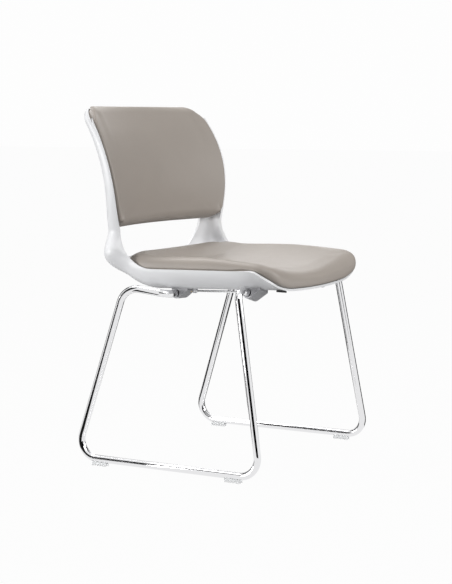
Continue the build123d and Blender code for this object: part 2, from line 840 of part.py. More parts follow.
def seat_pad_front(turn):
    """Section of the seat pad's front roll, which tucks in to the inside of the shell."""
    fall = 1 - cos(radians(turn))
    y = pad_front_y - seat_front_roll * sin(radians(turn)) / sin(radians(last_turn))
    crest = seat_crest_height - seat_front_crest_drop - seat_front_fall * fall
    half_width = pad_half_width - seat_front_shrink * fall**1.25
    base_half_width = min(half_width - seat_front_tuck, seat_front_base_half_width)
    return cushion_section(
        seat_plane(y, crest),
        half_width=half_width,
        widest=seat_front_edge,
        roll=seat_front_edge,
        dish=seat_front_dish * cos(radians(turn)),
        base_half_width=base_half_width,
        base_depth=crest - pan_height(base_half_width, y, shell_wall) - pad_clearance,
    )


def seat_pad_rear(turn):
    """Section of the seat pad's rear roll, which drops into the shell's heel."""
    fall = 1 - cos(radians(turn))
    crest = seat_crest_height - seat_rear_fall * fall
    half_width = seat_rear_half_width - seat_rear_shrink * fall
    roll = seat_rear_roll_radius * (1 - 0.5 * fall)
    return cushion_section(
        seat_plane(pad_rear_y + seat_rear_roll * sin(radians(turn)), crest),
        half_width=half_width,
        widest=roll,
        roll=roll,
        dish=seat_rear_dish,
        base_half_width=seat_rear_base_half_width - seat_rear_shrink * fall,
        base_depth=crest - seat_pad_base_height - seat_rear_base_rise * (1 + fall),
    )


seat_pad_body = [seat_pad_middle(blend(pad_front_y, pad_rear_y, step / 12)) for step in range(13)]
seat_pad_body += [seat_pad_rear(turn) for turn in roll_turns]
seat_pad_nose = [seat_pad_front(turn) for turn in reversed(roll_turns)] + seat_pad_body[:1]
with BuildPart() as seat_cushion:
    loft(seat_pad_body)
    loft(seat_pad_nose)
    with BuildSketch(Plane.XY.offset(board_rest_height + board_thickness + board_fit)):
        with Locations((0, board_middle_y)):
            RectangleRounded(
                2 * board_half_width + 2 * board_fit,
                board_length + 2 * board_fit,
                board_corner_radius + board_fit,
            )
    extrude(amount=-pan_depth, mode=Mode.SUBTRACT)
    with Locations(
        (clamp_screw_x, front_screw_y, front_screw_seat + clamp_screw_head_height + head_clearance),
        (clamp_screw_x, rear_screw_y, rear_screw_seat + clamp_screw_head_height + head_clearance),
        (-clamp_screw_x, front_screw_y, front_screw_seat + clamp_screw_head_height + head_clearance),
        (-clamp_screw_x, rear_screw_y, rear_screw_seat + clamp_screw_head_height + head_clearance),
    ):
        Cylinder(
            clamp_boss_diameter / 2 + head_clearance,
            pan_depth,
            align=(Align.CENTER, Align.CENTER, Align.MAX),
            mode=Mode.SUBTRACT,
        )


def back_board_section(z, growth):
    """Section of the board in the back pad at height z, grown all round for the pocket that takes it."""
    station = back_station(z)
    half_width = station.wall_points(shell_wall)[2][0] - back_board_margin + growth
    rear_inset = shell_wall + back_board_gap - growth * 4
    front_inset = shell_wall + back_board_gap + back_board_thickness + growth
    rear_edge = (half_width, station.depth_at(half_width, rear_inset))
    front_edge = (half_width, station.depth_at(half_width, front_inset))
    with BuildSketch(station.plane()) as section:
        with BuildLine():
            ThreePointArc(rear_edge, (0, station.depth - rear_inset), flip(rear_edge))
            Line(flip(rear_edge), flip(front_edge))
            ThreePointArc(flip(front_edge), (0, station.depth - front_inset), front_edge)
            Line(front_edge, rear_edge)
        make_face()
    return section.sketch


# Curved board in the back pad, held to the panel by blind push pins
board_zs = [blend(back_board_bottom, back_board_top, step / 5) for step in range(6)]
with BuildPart() as back_board:
    loft([back_board_section(z, 0) for z in board_zs])
    for point, normal in pin_places:
        with BuildSketch(Plane(point, z_dir=normal).offset(pin_bite)):
            Circle(pin_diameter / 2 + socket_clearance)
        extrude(amount=-pin_length - thread_clearance, mode=Mode.SUBTRACT)

with BuildPart() as back_push_pins:
    for point, normal in pin_places:
        with BuildSketch(Plane(point, z_dir=normal).offset(pin_bite)):
            Circle(pin_diameter / 2)
        extrude(amount=-pin_length)

pocket_zs = [blend(back_board_bottom - board_fit, back_board_top + board_fit, step / 5) for step in range(6)]
with BuildPart() as back_pocket:
    loft([back_board_section(z, board_fit) for z in pocket_zs])


def back_pad_section(z, fall, shrink):
    """Section of the back pad at height z, where its face has fallen back by a share of the foam."""
    station = back_station(z)
    foot = station.wall_points(shell_wall)[2]
    base_half_width = foot[0] - back_pad_base_margin - shrink * fall
    base_depth = station.depth_at(base_half_width, shell_wall) - back_pad_clearance
    padding = shell_wall + back_board_gap + back_board_thickness + back_foam
    return cushion_section(
        station.plane(),
        half_width=station.half_width - back_pad_margin - shrink * fall,
        widest=back_pad_edge_depth + back_pad_edge_fall * back_foam * fall,
        roll=back_pad_roll_radius,
        dish=station.depth - padding + back_foam * fall,
        base_half_width=base_half_width,
        base_depth=base_depth,
        base_sag=station.depth - shell_wall - back_pad_clearance - base_depth,
    )


# Back pad, lofted from its bottom roll to its top roll
low_roll_z = back_pad_bottom + back_pad_low_roll
high_roll_z = back_pad_top - back_pad_high_roll
back_pad_sections = [
    back_pad_section(
        low_roll_z - back_pad_low_roll * sin(radians(turn)) / sin(radians(last_turn)),
        1 - cos(radians(turn)),
        back_pad_low_shrink,
    )
    for turn in reversed(roll_turns)
]
back_pad_sections += [
    back_pad_section(blend(low_roll_z, high_roll_z, step / 5), 0, 0) for step in range(6)
]
back_pad_sections += [
    back_pad_section(
        high_roll_z + back_pad_high_roll * sin(radians(turn)) / sin(radians(last_turn)),
        1 - cos(radians(turn)),
        back_pad_high_shrink,
    )
    for turn in roll_turns
]
with BuildPart() as back_cushion:
    loft(back_pad_sections)
    add(back_pocket.part, mode=Mode.SUBTRACT)


def glide_solid(y):
    """A clear glide: a block that cups the rail from below, on three feet, with a peg into the tube."""
    foot_pitch = (glide_length + glide_slot_length) / 3
    with BuildPart() as glide:
        with BuildSketch(Plane.YZ.offset(rail_x - glide_width / 2)):
            with Locations((y, 0)):
                Rectangle(glide_length, rail_height - glide_cup_drop, align=(Align.CENTER, Align.MIN))
            with Locations((y - foot_pitch / 2, 0), (y + foot_pitch / 2, 0)):
                Rectangle(
                    glide_slot_length, glide_slot_depth, align=(Align.CENTER, Align.MIN), mode=Mode.SUBTRACT
                )
        extrude(amount=glide_width)
        with BuildSketch(Plane.XZ.offset(-y - glide_length)):
            with Locations((rail_x, rail_height)):
                Circle(tube_radius + socket_clearance)
        extrude(amount=2 * glide_length, mode=Mode.SUBTRACT)
        with BuildSketch(Plane.XY.offset(glide_slot_depth)):
            with Locations((rail_x, y)):
                Circle(glide_peg_diameter / 2)
        extrude(amount=glide_height + glide_peg_length - glide_slot_depth)
    return glide.part


# Glides, two to a rail
front_glide_solid = glide_solid(glide_ys[0])
rear_glide_solid = glide_solid(glide_ys[1])
with BuildPart() as glide_front_left:
    add(front_glide_solid)
with BuildPart() as glide_rear_left:
    add(rear_glide_solid)
with BuildPart() as glide_front_right:
    mirror(glide_front_left.part, about=Plane.YZ)
with BuildPart() as glide_rear_right:
    mirror(glide_rear_left.part, about=Plane.YZ)

# Stacking bumpers, set square to the shell's underside
bumper_y = front_y + bumper_setback
bumper_slope = pan_height(bumper_x + 1, bumper_y, 0) - pan_height(bumper_x - 1, bumper_y, 0)
bumper_normal = Vector(bumper_slope, 0, -2).normalized()
bumper_point = Vector(bumper_x, bumper_y, pan_height(bumper_x, bumper_y, 0)) + bumper_drop * bumper_normal
with BuildPart() as bumper_left:
    with BuildSketch(Plane(bumper_point, x_dir=(0, -1, 0), z_dir=-bumper_normal)):
        RectangleRounded(bumper_width, bumper_length, bumper_width / 4)
    extrude(amount=2 * bumper_drop)
    add(pan_outside.part, mode=Mode.SUBTRACT)

with BuildPart() as bumper_right:
    mirror(bumper_left.part, about=Plane.YZ)

# One file for each piece
os.makedirs("parts", exist_ok=True)
shell.part.label = "shell"
export_step(shell.part, "parts/shell.step")
seat_cushion.part.label = "seat_cushion"
export_step(seat_cushion.part, "parts/seat_cushion.step")
seat_board.part.label = "seat_board"
export_step(seat_board.part, "parts/seat_board.step")
back_cushion.part.label = "back_cushion"
export_step(back_cushion.part, "parts/back_cushion.step")
back_board.part.label = "back_board"
export_step(back_board.part, "parts/back_board.step")
side_frame_left.part.label = "side_frame_left"
export_step(side_frame_left.part, "parts/side_frame_left.step")
side_frame_right.part.label = "side_frame_right"
export_step(side_frame_right.part, "parts/side_frame_right.step")
front_clamp_left.part.label = "front_clamp_left"
export_step(front_clamp_left.part, "parts/front_clamp_left.step")
front_clamp_right.part.label = "front_clamp_right"
export_step(front_clamp_right.part, "parts/front_clamp_right.step")
rear_clamp_left.part.label = "rear_clamp_left"
export_step(rear_clamp_left.part, "parts/rear_clamp_left.step")
rear_clamp_right.part.label = "rear_clamp_right"
export_step(rear_clamp_right.part, "parts/rear_clamp_right.step")
tie_rod_left.part.label = "tie_rod_left"
export_step(tie_rod_left.part, "parts/tie_rod_left.step")
tie_rod_right.part.label = "tie_rod_right"
export_step(tie_rod_right.part, "parts/tie_rod_right.step")
glide_front_left.part.label = "glide_front_left"
export_step(glide_front_left.part, "parts/glide_front_left.step")
glide_front_right.part.label = "glide_front_right"
export_step(glide_front_right.part, "parts/glide_front_right.step")
glide_rear_left.part.label = "glide_rear_left"
export_step(glide_rear_left.part, "parts/glide_rear_left.step")
glide_rear_right.part.label = "glide_rear_right"
export_step(glide_rear_right.part, "parts/glide_rear_right.step")
bumper_left.part.label = "bumper_left"
export_step(bumper_left.part, "parts/bumper_left.step")
bumper_right.part.label = "bumper_right"
export_step(bumper_right.part, "parts/bumper_right.step")
clamp_screws.part.label = "clamp_screws"
export_step(clamp_screws.part, "parts/clamp_screws.step")
clamp_inserts.part.label = "clamp_inserts"
export_step(clamp_inserts.part, "parts/clamp_inserts.step")
tube_set_screws.part.label = "tube_set_screws"
export_step(tube_set_screws.part, "parts/tube_set_screws.step")
tie_rod_screws.part.label = "tie_rod_screws"
export_step(tie_rod_screws.part, "parts/tie_rod_screws.step")
seat_screws.part.label = "seat_screws"
export_step(seat_screws.part, "parts/seat_screws.step")
seat_tee_nuts.part.label = "seat_tee_nuts"
export_step(seat_tee_nuts.part, "parts/seat_tee_nuts.step")
back_push_pins.part.label = "back_push_pins"
export_step(back_push_pins.part, "parts/back_push_pins.step")
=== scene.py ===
"""Dresses a stacking visitor chair: moulded shell, two leather pads, chromed tube frames and fittings."""

import math

import bmesh
import bpy
import numpy as np
from mathutils import Matrix, Vector


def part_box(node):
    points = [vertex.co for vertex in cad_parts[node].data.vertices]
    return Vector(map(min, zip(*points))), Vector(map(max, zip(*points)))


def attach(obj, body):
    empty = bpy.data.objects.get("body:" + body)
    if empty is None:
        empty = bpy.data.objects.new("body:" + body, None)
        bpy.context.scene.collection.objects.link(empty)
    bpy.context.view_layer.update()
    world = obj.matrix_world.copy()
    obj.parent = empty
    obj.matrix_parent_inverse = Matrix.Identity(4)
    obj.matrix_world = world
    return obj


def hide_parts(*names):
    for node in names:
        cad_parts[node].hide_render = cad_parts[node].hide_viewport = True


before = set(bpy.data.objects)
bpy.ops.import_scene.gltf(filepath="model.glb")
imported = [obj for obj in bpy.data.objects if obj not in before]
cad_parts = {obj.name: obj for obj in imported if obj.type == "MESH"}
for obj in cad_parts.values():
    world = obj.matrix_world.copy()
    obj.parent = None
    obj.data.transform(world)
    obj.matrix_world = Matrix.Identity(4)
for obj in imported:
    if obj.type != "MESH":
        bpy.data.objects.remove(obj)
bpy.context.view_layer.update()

bl_info = {
    "name": "Visitor chair",
    "version": (1, 0, 0),
    "blender": (4, 5, 0),
    "location": "View3D > Sidebar > Chair",
    "description": "Builds the shell, pads, frames, fittings and stage of a stacking visitor chair",
    "category": "Object",
}

MM = 0.001
TINY = 1e-9
WHITE = (1.0, 1.0, 1.0, 1.0)

# Lengths are in millimetres, as the solids have them, and angles in degrees. The sitter faces -Y.
# The shell's sections are dishes: SIDE_R and BOTTOM_R are the radii of their side and bottom arcs.
DEPTH = 522.2
FRONT_Y = -DEPTH / 2
SEAT_HALF = 229.0
SEAT_TILT = 1.23
RIM_HEIGHT = 439.5
PAN_DEPTH = 52.0
PAN_FALL = 3.5
PAN_SIDE_R = 45.0
PAN_BOTTOM_R = 2500.0
ROLL_RUN = 58.0
ROLL_DROP = 20.0
ROLL_SHALLOW = 16.0
BOWL_RUN = 112.0
BOWL_SIDE_R = 250.0
LIP_HALF = SEAT_HALF + 1.0
LIP_SETBACK = 3.0
LIP_BOW = 14.0
LIP_CORNER = 42.0
HEEL_SETBACK = 301.4
HEEL_RADIUS = 80.0
HEEL_RUN = 128.0
HEEL_DEPTH = 71.0
HEEL_SIDE_R = 24.0
HEEL_Y = FRONT_Y + HEEL_SETBACK
HEEL_TOP = RIM_HEIGHT + HEEL_RADIUS
KNEE_TURN = 62.0
KNEE_SPREAD = 28.0
KNEE_SWELL = 18.0
UPRIGHT_Y = HEEL_Y + HEEL_RADIUS
WAIST_HALF = 223.5
WAIST_REACH = 160.0
BACK_HALF = 254.0
BACK_WIDEST = 680.0
BACK_BOTTOM_R = 700.0
BACK_TOP = 786.0
BACK_CORNER = 32.0
TOP_DEPTH = 69.0
TOP_SIDE_R = 22.0
TOP_P = HEEL_SETBACK + HEEL_RUN + BACK_TOP - HEEL_TOP
LEAN_START = 580.0
LEAN_RUN = 165.0
LEAN_END = LEAN_START + LEAN_RUN
LEAN_RADIUS = 318.0
CROWN_RUN = 28.0
CROWN_START = BACK_TOP - CROWN_RUN
CROWN_ROLL = 0.42
CROWN_SIDE_R = 90.0
CROWN_BOTTOM_R = 1600.0
SIDE_FROM = 0.75

# The seat board with its screws, and the bosses under the shell.
BOARD_SETBACK = 58.0
BOARD_LENGTH = 262.0
BOARD_MIDDLE_Y = FRONT_Y + BOARD_SETBACK + BOARD_LENGTH / 2
BOARD_REST = 407.0
SCREW_X = 105.0
SCREW_PITCH = 95.0
BORE = 6.0
BORE_TOP = 401.0
ROD_X = 175.0
ROD_EYE = 7.0
ROOT = 2.5

# The pads. A run is counted from the seat pad's front edge.
PAD_GRID = 101
PAD_FREE = 8.0
SEAT_PAD_INSET = 4.0
SEAT_LENGTH = 400.0
SEAT_REAR = 301.0
REAR_ROUND = 60.0
REAR_TAPER = 0.1
REAR_FADE = 70.0
REAR_RISE = 4.0
FRONT_BOW = 7.0
ROLL_FRONT, ROLL_REAR, ROLL_SIDE = 34.0, 30.0, 22.0
SEAT_DISH, SEAT_DISH_REAR = 25.0, 3.0
CREST_FALL, FALL_FROM, FALL_RUN = 6.0, 181.0, 145.0
RIM_FROM, RIM_GAP = 12.0, 3.0
LIP_FROM, LIP_GAP, CORNER_RISE = 4.0, 5.0, 9.0
HEEL_LOW, HEEL_GAP = 432.0, 4.0
SEAT_LOW, FRONT_RUN = 406.0, 60.0
SEAT_TUCK, TUCK_SIDE = 6.0, 9.0
BACK_PAD_LOW, BACK_PAD_HIGH, BACK_SPLIT = 524.0, 792.0, 650.0
BACK_PAD_INSET = 7.0
BACK_ROUND_LOW, BACK_ROUND_HIGH = 30.0, 40.0
CREST_INSET = 7.0
BACK_DISH, BACK_PROUD = 28.5, 2.5
EDGE_GAP = 1.0
BACK_TUCK = 6.0
FOLD_DEPTH, FOLD_WIDTH, FOLD_AT, FOLD_LENGTH = 3.0, 4.0, 16.0, 14.0
CREASE_DEPTH, CREASE_WIDTH, CREASE_FROM, CREASE_FADE, CREASE_END = 0.7, 11.0, 690.0, 60.0, 16.0

# The cloth simulation that fills the pads.
CLOTH = {
    "quality": 5, "mass": 0.3, "tension_stiffness": 40, "compression_stiffness": 40, "shear_stiffness": 20,
    "bending_stiffness": 8, "use_pressure": True, "uniform_pressure_force": 4.0, "vertex_group_mass": "held",
}
CLOTH_FRAMES = 20
EVENING_PASSES = 40

# The side frames and the sockets of their clamps.
RAIL_X = 265.0
RAIL_HEIGHT = 15.0
RAIL_SETBACK = 10.0
RAIL_LENGTH = 466.5
SOCKET_X = 195.0
SOCKET_DEPTH = 30.0
SOCKET_SETBACK = 256.0
SOCKET_HEIGHT = 386.0
REAR_ELBOW = 16.0
BEND_RADII = (20.0, 40.0, 40.0, 42.0, 20.0)
TUBE_WALL = 1.5

# The stage: lamps with place, target and size in metres and power in watts, and flags, which are dark cloths,
# with two directions and the radius and height of foot and top.
LAMPS = (
    ("key", (-1.5, -2.3, 2.4), (0, 0, 0.5), (1.6, 1.6), 46.0),
    ("front", (1.1, -2.6, 1.4), (0, 0, 0.5), (1.2, 1.2), 30.0),
    ("side", (-1.75, 1.45, 0.5), (-0.2, 0.1, 0.5), (1.0, 0.8), 28.0),
    ("top", (0.0, 1.1, 2.8), (0, -0.1, 0.45), (1.4, 1.0), 34.0),
    ("back", (2.6, 1.1, 1.5), (0, 0, 0.45), (1.3, 0.8), 5.0),
)
FLAGS = (
    (-32.0, 32.0, (6000, 5), (6000, 3200)),
    (45.0, 75.0, (420, 4), (6000, 5500)),
    (104.0, 155.0, (420, 4), (6000, 6000)),
    (155.0, 205.0, (420, 4), (6000, 1500)),
    (205.0, 256.0, (420, 4), (6000, 6000)),
)
FLOOR_GLOW = 0.97
SKY_SOFT = 0.2
SKY_SEEN = (0.985, 0.985, 0.985, 1.0)

# The photograph's camera: directions, distances in metres, focal length and picture height in pixels.
CAMERA_TURN = -60.455
CAMERA_LIFT = 6.275
CAMERA_BACK, CAMERA_RIGHT, CAMERA_UP = 3.6934, -0.0006, 0.36863
CAMERA_SETBACK = 241.0
FOCAL_PIXELS = 1600.0
PICTURE_PIXELS = 584.0
SENSOR = 36.0


def blend(start, end, share):
    """The value a share of the way from start to end."""
    return start + (end - start) * share


def ease(share):
    """A smooth step from 0 to 1: three times the square less twice the cube."""
    share = np.clip(share, 0.0, 1.0)
    return share * share * (3 - 2 * share)


def bend(start, end, share):
    """A radius whose curvature lies a share of the way from one radius's to the other's."""
    return 1 / blend(1 / start, 1 / end, share)


def back_width(z):
    """Half-width of the back: it narrows with the square of the distance from where it is widest."""
    fall = np.minimum(((z - BACK_WIDEST) / WAIST_REACH) ** 2, 1.0)
    return BACK_HALF - (BACK_HALF - WAIST_HALF) * fall


def stations(p):
    """The shell's cross-sections at the distance p along it: seat, then heel, then back.

    Each is a dish given by the place of its rim, the direction of its depth, its half-width and depth, and
    the radii of its sides and of its bottom. The front rolls down with the power 1.5 of the distance, the
    heel swells at a knee, the back leans along an arc, and its top loses depth with the power 1.3.
    """
    y = FRONT_Y + np.minimum(p, HEEL_SETBACK)
    turn = np.clip((p - HEEL_SETBACK) / HEEL_RUN, 0, 1) * math.pi / 2
    z = HEEL_TOP + np.maximum(p - HEEL_SETBACK - HEEL_RUN, 0)
    back = p > HEEL_SETBACK + HEEL_RUN
    roll = np.maximum(0, (FRONT_Y + ROLL_RUN - y) / ROLL_RUN) ** 1.5
    bowl = ease((FRONT_Y + BOWL_RUN - y) / BOWL_RUN)
    share = ease(turn / (math.pi / 2))
    knee = ease(1 - np.abs(np.degrees(turn) - KNEE_TURN) / KNEE_SPREAD)
    rise = (z - HEEL_TOP) / (BACK_TOP - HEEL_TOP)
    lift = np.clip(z - LEAN_START, 0, LEAN_RUN)
    level = np.sqrt(LEAN_RADIUS**2 - lift**2)
    lean = LEAN_RADIUS - level + lift / level * np.maximum(0, z - LEAN_END)
    crown = np.clip((z - CROWN_START) / CROWN_RUN, 0, 1) ** 1.3
    pan = PAN_DEPTH - PAN_FALL * (HEEL_Y - y) / HEEL_SETBACK - ROLL_SHALLOW * roll
    rim = RIM_HEIGHT + (HEEL_Y - y) * math.tan(math.radians(SEAT_TILT)) - ROLL_DROP * roll
    rim = rim + HEEL_RADIUS * (1 - np.cos(turn))
    back_depth = blend(HEEL_DEPTH, TOP_DEPTH, rise) * (1 - CROWN_ROLL * crown)
    seat_depth = blend(pan, HEEL_DEPTH, share) + KNEE_SWELL * knee
    back_side = bend(blend(HEEL_SIDE_R, TOP_SIDE_R, rise), CROWN_SIDE_R, crown)
    seat_side = blend(bend(PAN_SIDE_R, BOWL_SIDE_R, bowl), HEEL_SIDE_R, share)
    back_bottom = bend(BACK_BOTTOM_R, CROWN_BOTTOM_R, crown)
    seat_bottom = bend(PAN_BOTTOM_R, BACK_BOTTOM_R, share)
    return {
        "y": np.where(back, UPRIGHT_Y + lean, y + HEEL_RADIUS * np.sin(turn)),
        "z": np.where(back, z, rim),
        "turn": turn,
        "half": np.where(back, back_width(z), blend(SEAT_HALF, WAIST_HALF, share)),
        "depth": np.where(back, back_depth, seat_depth),
        "side": np.where(back, back_side, seat_side),
        "bottom": np.where(back, back_bottom, seat_bottom),
    }


def side_circle(at):
    """Centre of a section's side arc, and its angles at the rim and at the bottom arc it runs into."""
    lift = at["bottom"] - at["depth"]
    reach = at["bottom"] - at["side"]
    chord = np.hypot(at["half"], lift)
    spread = np.arccos((reach**2 + chord**2 - at["side"] ** 2) / (2 * reach * chord))
    low = np.arctan2(lift, at["half"]) + spread
    x = reach * np.cos(low)
    y = reach * np.sin(low) - lift
    return x, y, np.arctan2(-y, at["half"] - x), low


def wall_depth(at, across, inset):
    """Depth of a section's wall at a distance across from the middle, set inwards by inset."""
    x, y, _, low = side_circle(at)
    foot = x + (at["side"] - inset) * np.cos(low)
    flat = at["depth"] - at["bottom"] + np.sqrt(np.maximum((at["bottom"] - inset) ** 2 - across**2, 0))
    round_part = y + np.sqrt(np.maximum((at["side"] - inset) ** 2 - (across - x) ** 2, 0))
    return np.where(across <= foot, flat, round_part)


def pan_height(x, y, inset):
    """Height of the seat pan's wall at a place in plan, set inwards from its underside."""
    at = stations(y - FRONT_Y)
    return at["z"] - wall_depth(at, np.abs(x), inset)


def shell_wall(p, t, inset):
    """Points of the shell's wall: p runs along the shell and t from 1 at the left rim to -1 at the right.

    The outer quarter of t on either side follows the side arcs and the rest follows the bottom arc.
    """
    at = stations(p)
    cx, cy, high, low = side_circle(at)
    size = np.abs(t)
    angle = high + (low - high) * np.clip((1 - size) / (1 - SIDE_FROM), 0, 1)
    sweep = math.pi / 2 - (math.pi / 2 - low) * np.clip(size / SIDE_FROM, 0, 1)
    on_side = size > SIDE_FROM
    across = np.where(
        on_side, cx + (at["side"] - inset) * np.cos(angle), (at["bottom"] - inset) * np.cos(sweep)
    )
    depth = np.where(
        on_side,
        cy + (at["side"] - inset) * np.sin(angle),
        (at["bottom"] - inset) * np.sin(sweep) - at["bottom"] + at["depth"],
    )
    across = across * np.sign(t)
    return np.stack(
        [across, at["y"] + depth * np.sin(at["turn"]), at["z"] - depth * np.cos(at["turn"])], axis=-1
    )


def lip_start(x):
    """Distance from the front of the chair to the lip at x: a bowed edge with rounded corners."""
    bow = (LIP_HALF**2 + LIP_BOW**2) / (2 * LIP_BOW)
    corner_x = LIP_HALF - LIP_CORNER
    corner_p = LIP_SETBACK + bow - math.sqrt((bow - LIP_CORNER) ** 2 - corner_x**2)
    on_bow = LIP_SETBACK + bow - np.sqrt(bow**2 - x**2)
    on_corner = corner_p - np.sqrt(np.maximum(LIP_CORNER**2 - (x - corner_x) ** 2, 0))
    return np.where(x < corner_x * bow / (bow - LIP_CORNER), on_bow, on_corner)


def top_end(x):
    """Distance along the shell at which it ends at x: a level top with rounded corners."""
    corner_x = back_width(BACK_TOP - BACK_CORNER) - BACK_CORNER
    reach = np.clip(x - corner_x, 0, BACK_CORNER)
    return TOP_P - BACK_CORNER + np.sqrt(BACK_CORNER**2 - reach**2)


def grid_quads(rows, columns, closed=False):
    """Quads of a grid of points, with the last column joined to the first where it is closed."""
    r = np.arange(rows - 1)[:, None]
    c = np.arange(columns if closed else columns - 1)[None, :]
    n = (c + 1) % columns
    quads = np.stack(np.broadcast_arrays(r * columns + c, r * columns + n, (r + 1) * columns + n,
                                         (r + 1) * columns + c), axis=-1)
    return quads.reshape(-1, 4)


def outward(points, quads):
    """The quads, turned round if the closed form they make has a negative volume."""
    a, b, c, d = (points[quads[:, k]] for k in range(4))
    volume = np.einsum("ij,ij->", a, np.cross(b, c)) + np.einsum("ij,ij->", a, np.cross(c, d))
    return quads if volume > 0 else quads[:, ::-1]


def make_piece(name, points, faces):
    """A smooth shaded mesh object at the origin, from points in millimetres."""
    mesh = bpy.data.meshes.new(name)
    mesh.from_pydata((np.asarray(points) * MM).tolist(), [], [list(face) for face in faces])
    mesh.validate()
    mesh.polygons.foreach_set("use_smooth", np.ones(len(mesh.polygons), dtype=bool))
    piece = bpy.data.objects.new(name, mesh)
    bpy.context.scene.collection.objects.link(piece)
    return piece


def carry(piece, slot, finish, *nodes):
    """Puts a piece on the chair's body in place of some solids, with its finish."""
    piece.data.materials.clear()
    piece.data.materials.append(finish)
    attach(piece, "root")
    if nodes:
        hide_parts(*nodes)


def shell_form(wall):
    """The shell as a closed sheet: an outer and an inner grid, joined round their border.

    The grid's first rows are drawn to the bowed lip and its last rows to the rounded top.
    """
    fine, drawn, guess = 60.0, 130.0, 10.0
    side = np.linspace(1, SIDE_FROM, 18)
    t = np.concatenate([side, np.linspace(SIDE_FROM, -SIDE_FROM, 84)[1:-1], np.linspace(-SIDE_FROM, -1, 18)])
    p = np.concatenate([np.linspace(0, fine, 24)[:-1], np.linspace(fine, TOP_P - fine, 154)[:-1],
                        np.linspace(TOP_P - fine, TOP_P, 24)])
    start = np.full_like(t, guess)
    end = np.full_like(t, TOP_P - guess)
    for _ in range(12):
        start = lip_start(np.abs(shell_wall(start, t, 0)[:, 0]))
        end = top_end(np.abs(shell_wall(end, t, 0)[:, 0]))
    along = p[:, None] + start[None, :] * np.maximum(0, 1 - p[:, None] / drawn)
    along = along - (TOP_P - end[None, :]) * np.maximum(0, 1 - (TOP_P - p[:, None]) / drawn)
    across = np.broadcast_to(t[None, :], along.shape)
    outer = shell_wall(along, across, 0.0).reshape(-1, 3)
    inner = shell_wall(along, across, wall).reshape(-1, 3)
    rows, columns = along.shape
    quads = grid_quads(rows, columns)
    index = np.arange(rows * columns).reshape(rows, columns)
    border = np.concatenate([index[0, :-1], index[:-1, -1], index[-1, :0:-1], index[:0:-1, 0]])
    following = np.roll(border, -1)
    count = rows * columns
    rim = np.stack([following, border, border + count, following + count], axis=-1)
    faces = np.concatenate([quads, quads[:, ::-1] + count, rim])
    points = np.concatenate([outer, inner])
    return points, outward(points, faces)


def rounded_window():
    """Outline of the waist opening, seen from the front: a rectangle with two large and two small corners."""
    half, low, high, low_round, high_round = 188.0, 452.0, 541.0, 70.0, 16.0
    turns = np.linspace(0, math.pi / 2, 17)
    corners = ((half, low, low_round, -math.pi / 2, -1, 1), (half, high, high_round, 0, -1, -1),
               (-half, high, high_round, math.pi / 2, 1, -1), (-half, low, low_round, math.pi, 1, 1))
    return np.concatenate([
        np.stack([x + sx * r + r * np.cos(turns + a), z + sz * r + r * np.sin(turns + a)], axis=-1)
        for x, z, r, a, sx, sz in corners
    ])


def prism(outline, axis, start, end):
    """An outline carried straight along an axis from start to end, with both ends closed."""
    count = len(outline)
    rest = [k for k in range(3) if k != axis]
    points = np.zeros((2 * count, 3))
    points[:, rest] = np.tile(outline, (2, 1))
    points[:, axis] = np.repeat([start, end], count)
    k = np.arange(count)
    n = (k + 1) % count
    sides = np.stack([k, n, n + count, k + count], axis=-1).tolist()
    return points, sides + [k[::-1].tolist(), (k + count).tolist()]


def lathe(profile, sides):
    """A closed profile of radius and height, turned round an upright axis at the origin."""
    angle = np.linspace(0, 2 * math.pi, sides, endpoint=False)[:, None]
    radius, height = profile.T[:, None, :]
    points = np.broadcast_arrays(radius * np.cos(angle), radius * np.sin(angle), height)
    flat = np.stack(points, axis=-1).reshape(-1, 3)
    around = np.concatenate([flat, flat[: len(profile)]])
    quads = grid_quads(sides + 1, len(profile), closed=True) % (sides * len(profile))
    return flat, outward(around, quads)


def gather(forms):
    """Several forms joined as one list of points and faces."""
    points, faces, start = [], [], 0
    for form_points, form_faces in forms:
        points.append(form_points)
        faces += [[int(corner) + start for corner in face] for face in form_faces]
        start += len(form_points)
    return np.concatenate(points), faces


def pad_plan(half, reach, near_round, far_round):
    """A pad's plan on a square grid: rays from the middle, cut by a rounded rectangle.

    Gives the points, the ends of their rays on the outline, the distances inside the outline, and how far the
    nearest edge is a side of the pad rather than an end (1 at the sides, 0 at the ends). The grid's
    steps are a quarter even, and the rest follows a sine, so they are shorter towards the outline.
    """
    even = 0.25
    step = np.linspace(-1, 1, PAD_GRID)
    step = even * step + (1 - even) * np.sin(step * math.pi / 2)
    a, b = np.meshgrid(step, step, indexing="ij")
    ring = np.maximum(np.abs(a), np.abs(b))
    ray = np.stack([a * half, b * reach], axis=-1) / np.maximum(ring, TINY)[..., None]
    radius = np.where(b < 0, near_round, far_round)
    corner = np.stack([half - radius, reach - radius], axis=-1)
    size = (ray**2).sum(axis=-1)
    along = (np.abs(ray) * corner).sum(axis=-1)
    inside = np.maximum(along**2 - size * ((corner**2).sum(axis=-1) - radius**2), 0)
    cut = (along + np.sqrt(inside)) / np.maximum(size, TINY)
    end = ray * np.where((np.abs(ray) > corner).all(axis=-1), cut, 1.0)[..., None]
    point = end * ring[..., None]
    over = np.abs(point) - corner
    beyond = np.maximum(over, 0)
    round_part = np.hypot(beyond[..., 0], beyond[..., 1])
    distance = np.maximum(radius - round_part - np.minimum(over.max(axis=-1), 0), 0)
    share = (beyond[..., 0] / np.maximum(round_part, TINY)) ** 2
    share = np.where((over > 0).all(axis=-1), share, over[..., 0] > over[..., 1])
    return point, end, distance, share


def dome(share):
    """A quarter of a circle, rising from 0 to 1 as its share runs from 0 to 1."""
    return np.sqrt(1 - (1 - np.clip(share, 0, 1)) ** 2)


def bell(distance, spread):
    """A bell curve: 1 on its line, falling off with the square of the distance over the spread."""
    return np.exp(-((distance / spread) ** 2))


